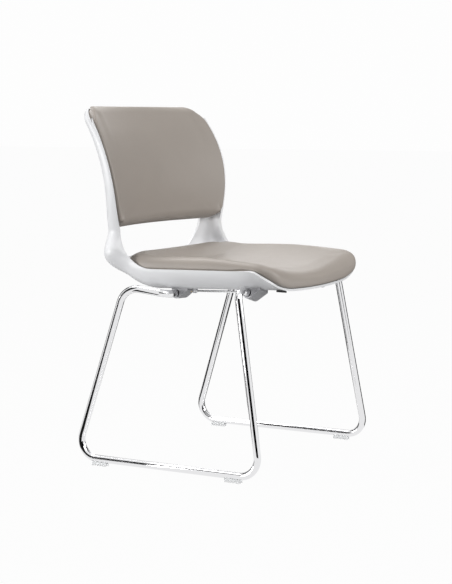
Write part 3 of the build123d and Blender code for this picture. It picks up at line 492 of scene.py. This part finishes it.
def pad_form(face, base):
    """A pad from the two sheets of its face and its base, which share their border."""
    count = len(face)
    index = np.arange(count * count).reshape(count, count)
    under = index.copy()
    under[1:-1, 1:-1] = count * count + np.arange((count - 2) ** 2).reshape(count - 2, count - 2)
    points = np.concatenate([face.reshape(-1, 3), base[1:-1, 1:-1].reshape(-1, 3)])

    def quads(at):
        return np.stack([at[:-1, :-1], at[1:, :-1], at[1:, 1:], at[:-1, 1:]], axis=-1).reshape(-1, 4)

    return points, outward(points, np.concatenate([quads(index), quads(under)[:, ::-1]]))


def seat_floor(x, y, inset):
    """Height of the shell under the seat pad, in the pan and on into the heel, where it settles in rounds."""
    height = pan_height(x, np.minimum(y, HEEL_Y), inset)
    past = np.maximum(y - HEEL_Y, 0)
    for _ in range(4):
        turn = np.arctan2(past, HEEL_TOP - height)
        at = stations(HEEL_SETBACK + HEEL_RUN * turn / (math.pi / 2))
        reach = HEEL_RADIUS + wall_depth(at, np.abs(x), inset)
        rising = HEEL_TOP - np.sqrt(np.maximum(reach**2 - past**2, 0))
        height = np.where(past > 0, rising, height)
    return height


def seat_pad_form(crest_height):
    """The seat pad: a face that rises from its border by a quarter circle to a dished middle.

    The border follows the rim at the sides, the lip at the front and the heel at the rear. The dish falls
    from its crest as the square of the distance across, and it flattens and rises towards the rear. The
    crest falls to the front with the power 1.5 of the distance.
    """
    half, halfway = SEAT_HALF - SEAT_PAD_INSET, SEAT_LENGTH / 2
    point, end, inside, side = pad_plan(half, halfway, LIP_CORNER, REAR_ROUND)

    def place(at):
        run = at[..., 1] + halfway
        taper = np.clip((run - SEAT_REAR) / (SEAT_LENGTH - SEAT_REAR), 0, 1) ** 2
        bow = FRONT_BOW * (at[..., 0] / half) ** 2 * (1 - run / SEAT_LENGTH)
        return at[..., 0] * (1 - REAR_TAPER * taper), FRONT_Y + run + bow, run

    x, y, run = place(point)
    end_x, end_y, end_run = place(end)
    rim = stations(np.clip(end_y - FRONT_Y, RIM_FROM, HEEL_SETBACK))["z"] + RIM_GAP
    lip = seat_floor(end_x, np.maximum(end_y, FRONT_Y + LIP_FROM), inset=5.0) + LIP_GAP
    lip = lip + CORNER_RISE * (end_x / half) ** 2
    heel = np.maximum(HEEL_LOW, seat_floor(end_x, end_y, inset=5.5) + HEEL_GAP)
    border = blend(np.where(end_run < halfway, lip, heel), rim, side)
    roll = blend(np.where(run < halfway, ROLL_FRONT, ROLL_REAR), ROLL_SIDE, side)
    fall = np.maximum(0, (FALL_FROM - run) / FALL_RUN)
    rear = ease((run - SEAT_REAR) / REAR_FADE)
    dish = blend(SEAT_DISH, SEAT_DISH_REAR, rear) * (1 - (x / (half - ROLL_SIDE)) ** 2)
    middle = crest_height - CREST_FALL * fall**1.5 - dish + REAR_RISE * rear
    height = border + (middle - border) * dome(inside / roll)
    floor = np.maximum(SEAT_LOW, seat_floor(x, y, inset=7.2))
    floor = blend(seat_floor(x, y, inset=5.8), floor, ease(run / FRONT_RUN))
    under = border + (floor - border) * dome(inside / blend(SEAT_TUCK, TUCK_SIDE, side))
    points, faces = pad_form(np.stack([x, y, height], axis=-1), np.stack([x, y, under], axis=-1))
    return points, faces, ease(inside / PAD_FREE)


def back_pad_form():
    """The back pad: a dished face on the panel's own sections, rolled back to the panel round its border.

    At the sides the face stands proud of the rim and turns in tightly; at the bottom and top it rolls wider.
    The leather is pulled into the lower corners, with a fold that rises out of each, and a slack crease runs
    down from each upper corner: both are bell curves across a line, which fade along it.
    """
    low, high = BACK_PAD_LOW, BACK_PAD_HIGH
    half = BACK_HALF - BACK_PAD_INSET
    point, end, inside, side = pad_plan(half, (high - low) / 2, BACK_ROUND_LOW, BACK_ROUND_HIGH)

    def place(at):
        z = at[..., 1] + (low + high) / 2
        return at[..., 0] * (back_width(z) - BACK_PAD_INSET) / half, z

    def panel(x, z, inset):
        at = stations(HEEL_SETBACK + HEEL_RUN + z - HEEL_TOP + 1e-6)
        return at, wall_depth(at, np.minimum(np.abs(x), at["half"] - inset), inset)

    def dished(across):
        return BACK_DISH - (BACK_DISH + BACK_PROUD) * (across / (half - CREST_INSET)) ** 2

    def around(lower, upper, sides):
        return blend(np.where(z < BACK_SPLIT, lower, upper), sides, side)

    x, z = place(point)
    at, wall = panel(x, z, inset=6.6)
    roll = around(lower=25.0, upper=14.0, sides=6.0)
    border = dished(end[..., 0]) + around(lower=30.0, upper=24.0, sides=5.0)
    border = np.minimum(border, panel(*place(end), inset=6.5)[1] - EDGE_GAP)
    from_side = half - np.abs(point[..., 0])
    up = z - low
    valley, ridge = from_side - 3.0 - 0.5 * up, from_side + 5.0 - 0.5 * up
    fold = (bell(valley, FOLD_WIDTH) - 0.8 * bell(ridge, FOLD_WIDTH)) * bell(up - FOLD_AT, FOLD_LENGTH)
    valley, ridge = from_side - 52.0, from_side - 27.0
    crease = bell(valley, CREASE_WIDTH) - bell(ridge, CREASE_WIDTH)
    crease = crease * ease((z - CREASE_FROM) / CREASE_FADE) * ease((high - z) / CREASE_END)
    middle = dished(point[..., 0]) - FOLD_DEPTH * fold - CREASE_DEPTH * crease
    depth = border + (middle - border) * dome(inside / roll)
    under = border + (wall - border) * dome(inside / BACK_TUCK)
    face = np.stack([x, at["y"] + depth, z], axis=-1)
    base = np.stack([x, at["y"] + np.maximum(under, depth), z], axis=-1)
    points, faces = pad_form(face, base)
    return points, faces, ease(inside / PAD_FREE)


def vertex_array(mesh):
    """The mesh's points as an array."""
    flat = np.empty(3 * len(mesh.vertices))
    mesh.vertices.foreach_get("co", flat)
    return flat.reshape(-1, 3)


def swell(piece, free, limit):
    """Blows a pad up as sewn leather over foam: cloth under pressure, held at its base.

    The movement of the face is evened out between neighbours, as foam does under taut leather. Each point
    keeps its share of it, cut to the limit, so the base stays on what carries it.
    """
    held = piece.vertex_groups.new(name="held")
    levels = np.round(1 - free, 2)
    for level in np.unique(levels[levels > 0]):
        held.add(np.flatnonzero(levels == level).tolist(), float(level), "REPLACE")
    cloth = piece.modifiers.new("Cloth", "CLOTH")
    for name, value in CLOTH.items():
        setattr(cloth.settings, name, value)
    cloth.settings.effector_weights.gravity = 0
    cloth.point_cache.frame_start = 1
    cloth.point_cache.frame_end = CLOTH_FRAMES
    scene = bpy.context.scene
    for step in range(1, CLOTH_FRAMES + 1):
        scene.frame_set(step)
    evaluated = piece.evaluated_get(bpy.context.evaluated_depsgraph_get())
    rest = vertex_array(piece.data)
    shift = vertex_array(evaluated.data) - rest
    face = shift[: PAD_GRID**2].reshape(PAD_GRID, PAD_GRID, 3)
    for _ in range(EVENING_PASSES):
        face[1:-1, 1:-1] = (face[:-2, 1:-1] + face[2:, 1:-1] + face[1:-1, :-2] + face[1:-1, 2:]) / 4
    length = np.linalg.norm(shift, axis=1, keepdims=True)
    shift = shift * np.minimum(1, limit / np.maximum(length, TINY)) * free[:, None]
    piece.modifiers.remove(cloth)
    piece.vertex_groups.remove(held)
    scene.frame_set(1)
    piece.data.vertices.foreach_set("co", (rest + shift).reshape(-1))
    piece.data.update()


def rounded_path(corners, radii):
    """A path through corners, each but the ends turned by an arc of its own radius."""
    pieces = [corners[:1]]
    for before, corner, after, radius in zip(corners[:-2], corners[1:-1], corners[2:], radii):
        into = (before - corner) / np.linalg.norm(before - corner)
        out = (after - corner) / np.linalg.norm(after - corner)
        half = math.acos(float(np.dot(into, out))) / 2
        middle = (into + out) / np.linalg.norm(into + out)
        centre = corner + middle * radius / math.sin(half)
        start = corner + into * radius / math.tan(half) - centre
        side = -into * radius
        angle = np.linspace(0, math.pi - 2 * half, 25)[:, None]
        pieces.append(centre + start * np.cos(angle) + side * np.sin(angle))
    pieces.append(corners[-1:])
    return np.concatenate(pieces)


def tube(path, radius, wall, sides=32):
    """A round tube: a circle carried along a path, with a wall and closed ring ends.

    Each circle stands square to the path, and starts at one fixed direction laid into its plane.
    """
    ahead = np.gradient(path, axis=0)
    ahead /= np.linalg.norm(ahead, axis=1, keepdims=True)
    fixed = np.array([0.6, 0.57, 0.56])
    first = fixed - ahead * (ahead @ fixed)[:, None]
    first /= np.linalg.norm(first, axis=1, keepdims=True)
    second = np.cross(ahead, first)
    angle = np.linspace(0, 2 * math.pi, sides, endpoint=False)[None, :, None]
    ring = first[:, None] * np.cos(angle) + second[:, None] * np.sin(angle)
    outer = path[:, None] + ring * radius
    inner = (path[:, None] + ring * (radius - wall))[::-1]
    rows = np.concatenate([outer, inner, outer[:1]])
    flat = rows[:-1].reshape(-1, 3)
    quads = grid_quads(len(rows), sides, closed=True) % len(flat)
    return flat, outward(flat, quads)


def frame_path(side):
    """Route of one side frame: front run, front leg, floor rail, rear leg and rear run.

    The legs lean as they rise. The runs dip inwards and end inside the sockets of the clamps.
    """
    front_foot = np.array([RAIL_X, FRONT_Y + RAIL_SETBACK, RAIL_HEIGHT])
    rear_foot = front_foot + (0, RAIL_LENGTH, 0)

    def leg(height, inwards, back):
        return height * np.array([-np.tan(np.radians(inwards)), np.tan(np.radians(back)), 1])

    def inward(dip):
        return np.array([-math.cos(math.radians(dip)), 0, -math.sin(math.radians(dip))])

    front_corner = front_foot + leg(height=394.0, inwards=3.6, back=9.8)
    rear_corner = rear_foot + leg(height=386.0, inwards=2.05, back=-17.8)
    front_axis, rear_axis = inward(dip=16.0), inward(dip=3.0)
    front_end = front_corner + front_axis * ((front_corner[0] - SOCKET_X) / -front_axis[0] + SOCKET_DEPTH)
    rear_socket = np.array([SOCKET_X, FRONT_Y + SOCKET_SETBACK, SOCKET_HEIGHT])
    rear_elbow = rear_socket + rear_axis * ((rear_corner[0] - REAR_ELBOW - SOCKET_X) / rear_axis[0])
    rear_end = rear_socket + rear_axis * SOCKET_DEPTH
    corners = np.array([front_end, front_corner, front_foot, rear_foot, rear_corner, rear_elbow, rear_end])
    return rounded_path(corners, BEND_RADII) * (side, 1, 1)


class Value:
    """A number that varies over a surface. Arithmetic on it adds the Math nodes that work it out."""

    def __init__(self, finish, socket):
        self.finish = finish
        self.socket = socket

    def math(self, operation, first, second):
        """The result of one Math node."""
        return self.finish.node("ShaderNodeMath", {"operation": operation}, {0: first, 1: second})

    def __add__(self, other):
        return self.math("ADD", self, other)

    def __radd__(self, other):
        return self.math("ADD", other, self)

    def __sub__(self, other):
        return self.math("SUBTRACT", self, other)

    def __rsub__(self, other):
        return self.math("SUBTRACT", other, self)

    def __mul__(self, other):
        return self.math("MULTIPLY", self, other)

    def __rmul__(self, other):
        return self.math("MULTIPLY", other, self)


class Nodes:
    """The node tree of a material or of the world."""

    def __init__(self, owner):
        owner.use_nodes = True
        self.tree = owner.node_tree

    def node(self, kind, settings, inputs, output=0):
        """One node: its settings are set first, then the values or links of its sockets."""
        made = self.tree.nodes.new(kind)
        for name, value in settings.items():
            setattr(made, name, value)
        for name, value in inputs.items():
            self.feed(made.inputs[name], value)
        return Value(self, made.outputs[output])

    def feed(self, socket, value):
        """Links a varying value to a socket, or writes a plain one on it."""
        if isinstance(value, Value):
            self.tree.links.new(value.socket, socket)
        else:
            socket.default_value = value

    def seen(self):
        """1 for what the camera sees itself, in metal or through glass, and 0 for light on the chair."""
        rays = [self.node("ShaderNodeLightPath", {}, {}, f"Is {kind} Ray")
                for kind in ("Camera", "Glossy", "Transmission")]
        return rays[0] + rays[1] + rays[2]

    def show(self, output, plain, other, share):
        """Sends a share of another shader, and the rest of the plain one, to the output."""
        mixed = self.node("ShaderNodeMixShader", {}, {0: share, 1: plain, 2: other})
        self.feed(self.tree.nodes[output].inputs["Surface"], mixed)


class Finish(Nodes):
    """A material under construction, with the shader that its pieces take."""

    def __init__(self, name, **constants):
        self.material = bpy.data.materials.new(name)
        super().__init__(self.material)
        self.shader = self.tree.nodes["Principled BSDF"]
        for socket, value in constants.items():
            self.set(socket.replace("_", " "), value)
        self.place = self.node("ShaderNodeTexCoord", {}, {}, "Object")

    def set(self, socket, value):
        """Feeds a socket of the shader."""
        self.feed(self.shader.inputs[socket], value)

    def noise(self, scale, detail=2.0, roughness=0.5, place=None):
        """Soft noise with that many swings to a metre."""
        inputs = {"Vector": place or self.place, "Scale": scale, "Detail": detail, "Roughness": roughness}
        return self.node("ShaderNodeTexNoise", {}, inputs)

    def mix(self, share, start, end):
        """A colour between two colours."""
        return self.node("ShaderNodeMix", {"data_type": "RGBA"}, {0: share, 6: start, 7: end}, 2)

    def tones(self, share, colour, dark, light):
        """A colour between a darker and a lighter tone of itself."""
        return self.mix(share, tint(colour, dark), tint(colour, light))

    def made(self, colour, roughness, height, strength, depth):
        """The material, with its colour and roughness, and raised by a height pattern."""
        self.set("Base Color", colour)
        self.set("Roughness", roughness)
        self.set("Normal", self.node("ShaderNodeBump", {}, {"Strength": strength, "Distance": depth,
                                                            "Height": height}))
        return self.material

    def stretch(self, factors):
        """Object coordinates, stretched along each axis."""
        return self.node("ShaderNodeMapping", {}, {"Vector": self.place, "Scale": factors})


def tint(colour, factor):
    """A colour made lighter or darker by a factor."""
    return (colour[0] * factor, colour[1] * factor, colour[2] * factor, 1.0)


def leather_finish(colour):
    """Smooth upholstery leather: pebbled grain a millimetre across, fine pores and slow drifts of tone."""
    finish = Finish("leather", Specular_IOR_Level=0.42)
    pebbles = finish.node("ShaderNodeTexVoronoi", {"feature": "SMOOTH_F1"},
                          {"Vector": finish.place, "Scale": 850.0, "Smoothness": 0.6}, "Distance")
    pores = finish.noise(scale=2600.0)
    drift = finish.noise(scale=7.0, detail=3.0)
    wear = finish.noise(scale=38.0, detail=3.0, roughness=0.6)
    base = finish.tones(drift, colour, 0.93, 1.07)
    base = finish.mix((pebbles * 0.5 + pores * 0.2) * 0.35, base, tint(colour, 0.7))
    roughness = 0.36 + wear * 0.1 + pebbles * 0.08
    return finish.made(base, roughness, pebbles * -0.8 + pores * 0.35, strength=0.16, depth=0.0004)


def moulding_finish(name, colour, gloss):
    """Moulded plastic: a fine spark texture, with faint drifts of tone and gloss."""
    finish = Finish(name, Specular_IOR_Level=0.5)
    spark = finish.noise(scale=1500.0, roughness=0.6)
    drift = finish.noise(scale=5.0)
    handled = finish.noise(scale=30.0, detail=3.0)
    base = finish.tones(drift * 0.7 + spark * 0.3, colour, 0.975, 1.02)
    return finish.made(base, gloss - 0.05 + handled * 0.08 + spark * 0.04, spark, strength=0.06, depth=0.0002)


def chrome_finish(name, colour, gloss):
    """Polished chrome over steel: nearly a mirror, with faint polishing marks along the tube."""
    finish = Finish(name, Metallic=1.0)
    marks = finish.noise(scale=420.0, place=finish.stretch((1.0, 0.12, 1.0)))
    haze = finish.noise(scale=24.0, detail=3.0)
    base = finish.tones(haze, colour, 0.96, 1.0)
    return finish.made(base, gloss + marks * 0.03 + haze * 0.02, marks, strength=0.02, depth=0.0001)


def clear_finish(colour):
    """Clear moulded plastic of the glides, scuffed towards the floor."""
    finish = Finish("clear plastic", Transmission_Weight=0.75, IOR=1.46)
    scuffs = finish.noise(scale=160.0, detail=4.0, roughness=0.7)
    height = finish.node("ShaderNodeSeparateXYZ", {}, {"Vector": finish.place}, "Z")
    low = finish.node("ShaderNodeMapRange", {}, {"Value": height, "From Min": 0.0, "From Max": 0.006,
                                                  "To Min": 1.0, "To Max": 0.0})
    base = finish.tones(scuffs * low, colour, 1.0, 0.8)
    return finish.made(base, 0.1 + scuffs * low * 0.3, scuffs, strength=0.05, depth=0.0002)


def rubber_finish(colour):
    """Dark rubber with a dusty, fine grained skin."""
    finish = Finish("rubber", Specular_IOR_Level=0.3)
    grain = finish.noise(scale=1400.0, detail=3.0, roughness=0.6)
    dust = finish.noise(scale=60.0, detail=3.0)
    base = finish.tones(dust * 0.6, colour, 0.85, 1.35)
    return finish.made(base, 0.68 + grain * 0.16, grain, strength=0.2, depth=0.0003)


def plywood_finish(colour):
    """Birch plywood: long grain across the chair and thin plies through the thickness."""
    finish = Finish("plywood", Specular_IOR_Level=0.3)
    grain = finish.noise(scale=70.0, detail=4.0, roughness=0.6, place=finish.stretch((0.12, 1.6, 1.0)))
    plies = finish.node("ShaderNodeTexWave", {"bands_direction": "Z"},
                        {"Vector": finish.place, "Scale": 160.0, "Distortion": 0.4, "Detail": 1.0}, "Fac")
    base = finish.tones(grain * 0.7 + plies * 0.25, colour, 0.72, 1.12)
    return finish.made(base, 0.6 + grain * 0.15, grain, strength=0.12, depth=0.0003)


def metal_finish(name, colour, gloss):
    """Plated fastener metal with small scratches and a mottled plating."""
    finish = Finish(name, Metallic=1.0)
    scratches = finish.noise(scale=700.0, detail=3.0, roughness=0.7, place=finish.stretch((1.0, 0.2, 1.0)))
    mottle = finish.noise(scale=220.0, detail=3.0)
    base = finish.tones(mottle, colour, 0.85, 1.08)
    return finish.made(base, gloss + scratches * 0.14, scratches, strength=0.08, depth=0.0002)


def dress(finish, *names):
    """Gives solids that keep their shape a finish."""
    for name in names:
        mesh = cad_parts[name].data
        mesh.materials.clear()
        mesh.materials.append(finish)


def both_sides(*names):
    """The left and the right node of each name."""
    return [f"{name}_{side}" for name in names for side in ("left", "right")]


def colour_property(name, description, default):
    """A colour that a user may change."""
    return bpy.props.FloatVectorProperty(
        name=name, description=description, default=default, size=3, min=0.0, max=1.0, subtype="COLOR"
    )


def length_property(name, description, default, low, high):
    """A length that a user may change."""
    return bpy.props.FloatProperty(
        name=name, description=description, default=default, min=low, max=high, unit="LENGTH"
    )


class ChairColours(bpy.types.PropertyGroup):
    """Colours of the chair's materials."""

    shell: colour_property("Shell", "Moulded plastic of the shell", (0.86, 0.865, 0.88))
    leather: colour_property("Leather", "Leather of both pads", (0.385, 0.344, 0.308))
    chrome: colour_property("Chrome", "Chrome of the frames and rods", (0.83, 0.83, 0.84))
    clamp: colour_property("Clamps", "Plastic of the clamps", (0.56, 0.56, 0.58))
    glide: colour_property("Glides", "Clear plastic of the floor glides", (0.92, 0.93, 0.94))
    bumper: colour_property("Bumpers", "Rubber of the stacking bumpers", (0.05, 0.05, 0.052))
    board: colour_property("Boards", "Plywood inside the pads", (0.62, 0.46, 0.29))
    floor: colour_property("Floor", "Pale floor under the chair", (0.30, 0.30, 0.30))


class ChairSizes(bpy.types.PropertyGroup):
    """Sizes of the dressed pieces that a user may change."""

    wall: length_property("Shell wall", "Thickness of the moulded shell", 0.005, 0.003, 0.007)
    rim: length_property("Rim rounding", "Rounding of the shell's edges", 0.0009, 0.0005, 0.002)
    tube: length_property("Tube", "Diameter of the frame tube", 0.016, 0.012, 0.02)
    crest: length_property("Seat crest", "Height of the seat pad's edges", 0.4655, 0.455, 0.468)
    seat_swell: length_property("Seat swell", "Most that the seat pad swells", 0.003, 0.0, 0.008)
    back_swell: length_property("Back swell", "Most that the back pad swells", 0.003, 0.0, 0.008)


def screw_places():
    """Where the seat screws stand in plan: two rows of three."""
    return [(x, BOARD_MIDDLE_Y + step * SCREW_PITCH, 0) for x in (-SCREW_X, SCREW_X) for step in (-1, 0, 1)]


def shell_cuts():
    """What is cut from the shell: the waist opening and a bore for each seat screw."""
    axis, low = 0.01, 380.0
    bore = np.array([[axis, low], [BORE, low], [BORE, BORE_TOP], [axis, BORE_TOP]])
    points, faces = lathe(bore, 32)
    return gather([prism(rounded_window(), 1, 0.0, DEPTH)] + [(points + at, faces) for at in screw_places()])


def cut_away(piece, cutter):
    """Cuts a closed form from a piece for good, and removes the form."""
    turned = bmesh.new()
    turned.from_mesh(cutter.data)
    bmesh.ops.recalc_face_normals(turned, faces=turned.faces)
    turned.to_mesh(cutter.data)
    turned.free()
    cut = piece.modifiers.new("Openings", "BOOLEAN")
    cut.operation = "DIFFERENCE"
    cut.solver = "EXACT"
    cut.object = cutter
    mesh = bpy.data.meshes.new_from_object(piece.evaluated_get(bpy.context.evaluated_depsgraph_get()))
    piece.modifiers.remove(cut)
    piece.data = mesh
    mesh.name = piece.name
    bpy.data.objects.remove(cutter)


def boss_forms():
    """The bosses under the seat: a stepped ring for each seat screw, and a collar for each rod's eye."""
    bosses = []
    hole, radius = 3.15, 10.0
    for x, y, _ in screw_places():
        foot = float(pan_height(x, y, ROOT))
        ring = np.array([[BORE, foot], [BORE, BORE_TOP], [hole, BORE_TOP], [hole, BOARD_REST],
                         [radius, BOARD_REST], [radius, foot]])
        points, faces = lathe(ring, 32)
        bosses.append((points + (x, y, 0), faces))
    hole, radius, drop = 2.6, 6.0, 3.45
    collar = np.array([[hole, -drop], [hole, ROOT], [radius, ROOT], [radius, -drop]])
    low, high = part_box("tie_rod_left")
    for y in (low[1] / MM + ROD_EYE, high[1] / MM - ROD_EYE):
        for x in (-ROD_X, ROD_X):
            points, faces = lathe(collar + (0, float(pan_height(x, y, 0.0))), 24)
            bosses.append((points + (x, y, 0), faces))
    return gather(bosses)


def finish_pad(name, form, limit, node):
    """Makes a pad of its form, swells it, smooths it and covers it in leather."""
    points, faces, free = form
    pad = make_piece(name, points, faces)
    free = np.concatenate([free.reshape(-1), np.zeros(len(pad.data.vertices) - free.size)])
    swell(pad, free, limit)
    smooth = pad.modifiers.new("Cover", "SUBSURF")
    smooth.levels = 1
    smooth.render_levels = 1
    leather = bpy.data.materials.get("leather") or leather_finish(bpy.context.scene.chair_colours.leather)
    carry(pad, "upholstery", leather, node)


class CHAIR_OT_shell(bpy.types.Operator):
    """Moulds the shell and the bosses under its seat"""

    bl_idname = "chair.shell"
    bl_label = "Mould the shell"

    def execute(self, context):
        sizes = context.scene.chair_sizes
        finish = moulding_finish("shell plastic", context.scene.chair_colours.shell, gloss=0.36)
        shell = make_piece("shell_moulding", *shell_form(sizes.wall / MM))
        cut_away(shell, make_piece("shell_cuts", *shell_cuts()))
        edge = shell.modifiers.new("Rim", "BEVEL")
        edge.width = sizes.rim
        edge.segments = 3
        edge.limit_method = "ANGLE"
        edge.angle_limit = math.radians(50)
        edge.harden_normals = True
        carry(shell, "shell", finish, "shell")
        carry(make_piece("shell_bosses", *boss_forms()), "shell", finish)
        return {"FINISHED"}


class CHAIR_OT_seat_pad(bpy.types.Operator):
    """Sews and fills the seat pad"""

    bl_idname = "chair.seat_pad"
    bl_label = "Make the seat pad"

    def execute(self, context):
        sizes = context.scene.chair_sizes
        finish_pad("seat_pad", seat_pad_form(sizes.crest / MM), sizes.seat_swell, "seat_cushion")
        return {"FINISHED"}


class CHAIR_OT_back_pad(bpy.types.Operator):
    """Sews and fills the back pad"""

    bl_idname = "chair.back_pad"
    bl_label = "Make the back pad"

    def execute(self, context):
        finish_pad("back_pad", back_pad_form(), context.scene.chair_sizes.back_swell, "back_cushion")
        return {"FINISHED"}


class CHAIR_OT_frames(bpy.types.Operator):
    """Bends the two side frames"""

    bl_idname = "chair.frames"
    bl_label = "Bend the side frames"

    def execute(self, context):
        finish = chrome_finish("frame chrome", context.scene.chair_colours.chrome, gloss=0.03)
        radius = context.scene.chair_sizes.tube / MM / 2
        for name, side in (("left", 1), ("right", -1)):
            piece = make_piece(f"frame_tube_{name}", *tube(frame_path(side), radius, TUBE_WALL))
            carry(piece, "frame", finish, f"side_frame_{name}")
        return {"FINISHED"}


class CHAIR_OT_fittings(bpy.types.Operator):
    """Finishes the clamps, rods, glides, bumpers, boards and fasteners"""

    bl_idname = "chair.fittings"
    bl_label = "Finish the fittings"

    def execute(self, context):
        colours = context.scene.chair_colours
        plastic = moulding_finish("clamp plastic", colours.clamp, gloss=0.5)
        dress(plastic, *both_sides("front_clamp", "rear_clamp"))
        dress(chrome_finish("rod steel", colours.chrome, gloss=0.12), *both_sides("tie_rod"))
        dress(clear_finish(colours.glide), *both_sides("glide_front", "glide_rear"))
        dress(rubber_finish(colours.bumper), *both_sides("bumper"))
        dress(plywood_finish(colours.board), "seat_board", "back_board")
        dress(metal_finish("zinc plate", (0.60, 0.60, 0.62), gloss=0.28), "clamp_screws", "tube_set_screws",
              "tie_rod_screws", "seat_screws", "seat_tee_nuts")
        dress(metal_finish("brass", (0.72, 0.55, 0.26), gloss=0.25), "clamp_inserts")
        dress(moulding_finish("pin plastic", (0.03, 0.03, 0.03), gloss=0.45), "back_push_pins")
        return {"FINISHED"}


def area_lamp(name, place, target, size, power):
    """A soft box of that size in metres, turned to its target."""
    data = bpy.data.lights.new(name, "AREA")
    data.shape = "RECTANGLE"
    data.size, data.size_y = size
    data.energy = power
    lamp = bpy.data.objects.new(name, data)
    lamp.location = place
    lamp.visible_camera = False
    lamp.rotation_euler = (Vector(target) - Vector(place)).to_track_quat("-Z", "Y").to_euler()
    bpy.context.scene.collection.objects.link(lamp)


class CHAIR_OT_stage(bpy.types.Operator):
    """Sets the pale floor, the studio light and the camera"""

    bl_idname = "chair.stage"
    bl_label = "Set the stage"

    def execute(self, context):
        scene = context.scene
        self.lay_floor(scene.chair_colours.floor)
        self.light_world(scene)
        self.stand_flags()
        for lamp in LAMPS:
            area_lamp(*lamp)
        scene.view_settings.view_transform = "Standard"
        self.place_camera(scene)
        return {"FINISHED"}

    def lay_floor(self, colour):
        """A wide floor that looks white to the camera and keeps the chair's shadow."""
        reach = 30000.0
        points = np.array([[-1, -1, 0], [1, -1, 0], [1, 1, 0], [-1, 1, 0]]) * reach
        floor = make_piece("floor", points, np.array([[0, 1, 2, 3]]))
        finish = Finish("floor", Roughness=0.9, Specular_IOR_Level=0.1)
        finish.set("Base Color", finish.tones(finish.noise(scale=3.0), colour, 0.99, 1.0))
        glow = finish.node("ShaderNodeEmission", {}, {"Color": WHITE, "Strength": 1.0})
        plain = Value(finish, finish.shader.outputs[0])
        finish.show("Material Output", plain, glow, finish.seen() * FLOOR_GLOW)
        floor.data.materials.append(finish.material)

    def light_world(self, scene):
        """White to the camera, in metal and through glass, and an even soft light on the chair."""
        world = bpy.data.worlds.new("studio")
        sky = Nodes(world)
        soft = sky.node("ShaderNodeBackground", {}, {"Color": WHITE, "Strength": SKY_SOFT})
        white = sky.node("ShaderNodeBackground", {}, {"Color": SKY_SEEN, "Strength": 1.0})
        sky.show("World Output", soft, white, sky.seen())
        scene.world = world

    def stand_flags(self):
        """Dark cloths round the chair that only show in reflections, as a studio's flags do.

        Each is a strip of a cone about the upright axis, between two directions counted from the camera's,
        from a foot at one radius and height to a top at another.
        """
        strips = []
        for start, end, foot, top in FLAGS:
            turn = np.radians(CAMERA_TURN - np.linspace(start, end, 25))
            reach, height = np.array([foot, top], dtype=float).T[..., None]
            points = np.broadcast_arrays(reach * np.sin(turn), -reach * np.cos(turn), height)
            strips.append((np.stack(points, axis=-1).reshape(-1, 3), grid_quads(2, len(turn))))
        flags = make_piece("flags", *gather(strips))
        finish = Finish("flag cloth", Roughness=1.0, Specular_IOR_Level=0.0)
        finish.set("Base Color", finish.tones(finish.noise(scale=4.0), (0.01, 0.01, 0.01), 1.0, 2.0))
        flags.visible_camera = flags.visible_diffuse = False
        flags.visible_shadow = flags.visible_transmission = False
        flags.data.materials.append(finish.material)

    def place_camera(self, scene):
        """The photograph's camera: 60 degrees to the chair's right and 6 degrees up, 3.7 metres away."""
        turn, lift = math.radians(CAMERA_TURN), math.radians(CAMERA_LIFT)
        back = Vector((math.sin(turn) * math.cos(lift), -math.cos(turn) * math.cos(lift), math.sin(lift)))
        right = Vector((math.cos(turn), math.sin(turn), 0.0))
        up = back.cross(right)
        data = bpy.data.cameras.new("camera")
        data.sensor_width = SENSOR
        data.lens = FOCAL_PIXELS * SENSOR / PICTURE_PIXELS
        data.clip_end = 100.0
        camera = bpy.data.objects.new("camera", data)
        aim = Vector((0.0, (FRONT_Y + CAMERA_SETBACK) * MM, 0.0))
        place = back * CAMERA_BACK + right * CAMERA_RIGHT + up * CAMERA_UP + aim
        camera.matrix_world = Matrix.Translation(place) @ Matrix((right, up, back)).transposed().to_4x4()
        scene.collection.objects.link(camera)
        scene.camera = camera


class CHAIR_PT_build(bpy.types.Panel):
    """Lists the steps that dress the chair"""

    bl_idname = "CHAIR_PT_build"
    bl_label = "Visitor chair"
    bl_space_type = "VIEW_3D"
    bl_region_type = "UI"
    bl_category = "Chair"

    def draw(self, context):
        for group in (context.scene.chair_sizes, context.scene.chair_colours):
            for name in group.__annotations__:
                self.layout.prop(group, name)
        for step in STEPS:
            self.layout.operator(step.bl_idname)


STEPS = (CHAIR_OT_shell, CHAIR_OT_seat_pad, CHAIR_OT_back_pad, CHAIR_OT_frames, CHAIR_OT_fittings,
         CHAIR_OT_stage)
CLASSES = (ChairColours, ChairSizes, *STEPS, CHAIR_PT_build)


def register():
    """Adds the chair's classes and settings."""
    for item in CLASSES:
        bpy.utils.register_class(item)
    bpy.types.Scene.chair_colours = bpy.props.PointerProperty(type=ChairColours)
    bpy.types.Scene.chair_sizes = bpy.props.PointerProperty(type=ChairSizes)


def unregister():
    """Removes the chair's classes and settings."""
    del bpy.types.Scene.chair_sizes
    del bpy.types.Scene.chair_colours
    for item in reversed(CLASSES):
        bpy.utils.unregister_class(item)


def main():
    """Builds the chair and its stage."""
    register()
    bpy.ops.chair.shell()
    bpy.ops.chair.seat_pad()
    bpy.ops.chair.back_pad()
    bpy.ops.chair.frames()
    bpy.ops.chair.fittings()
    bpy.ops.chair.stage()


if __name__ == "__main__":
    main()
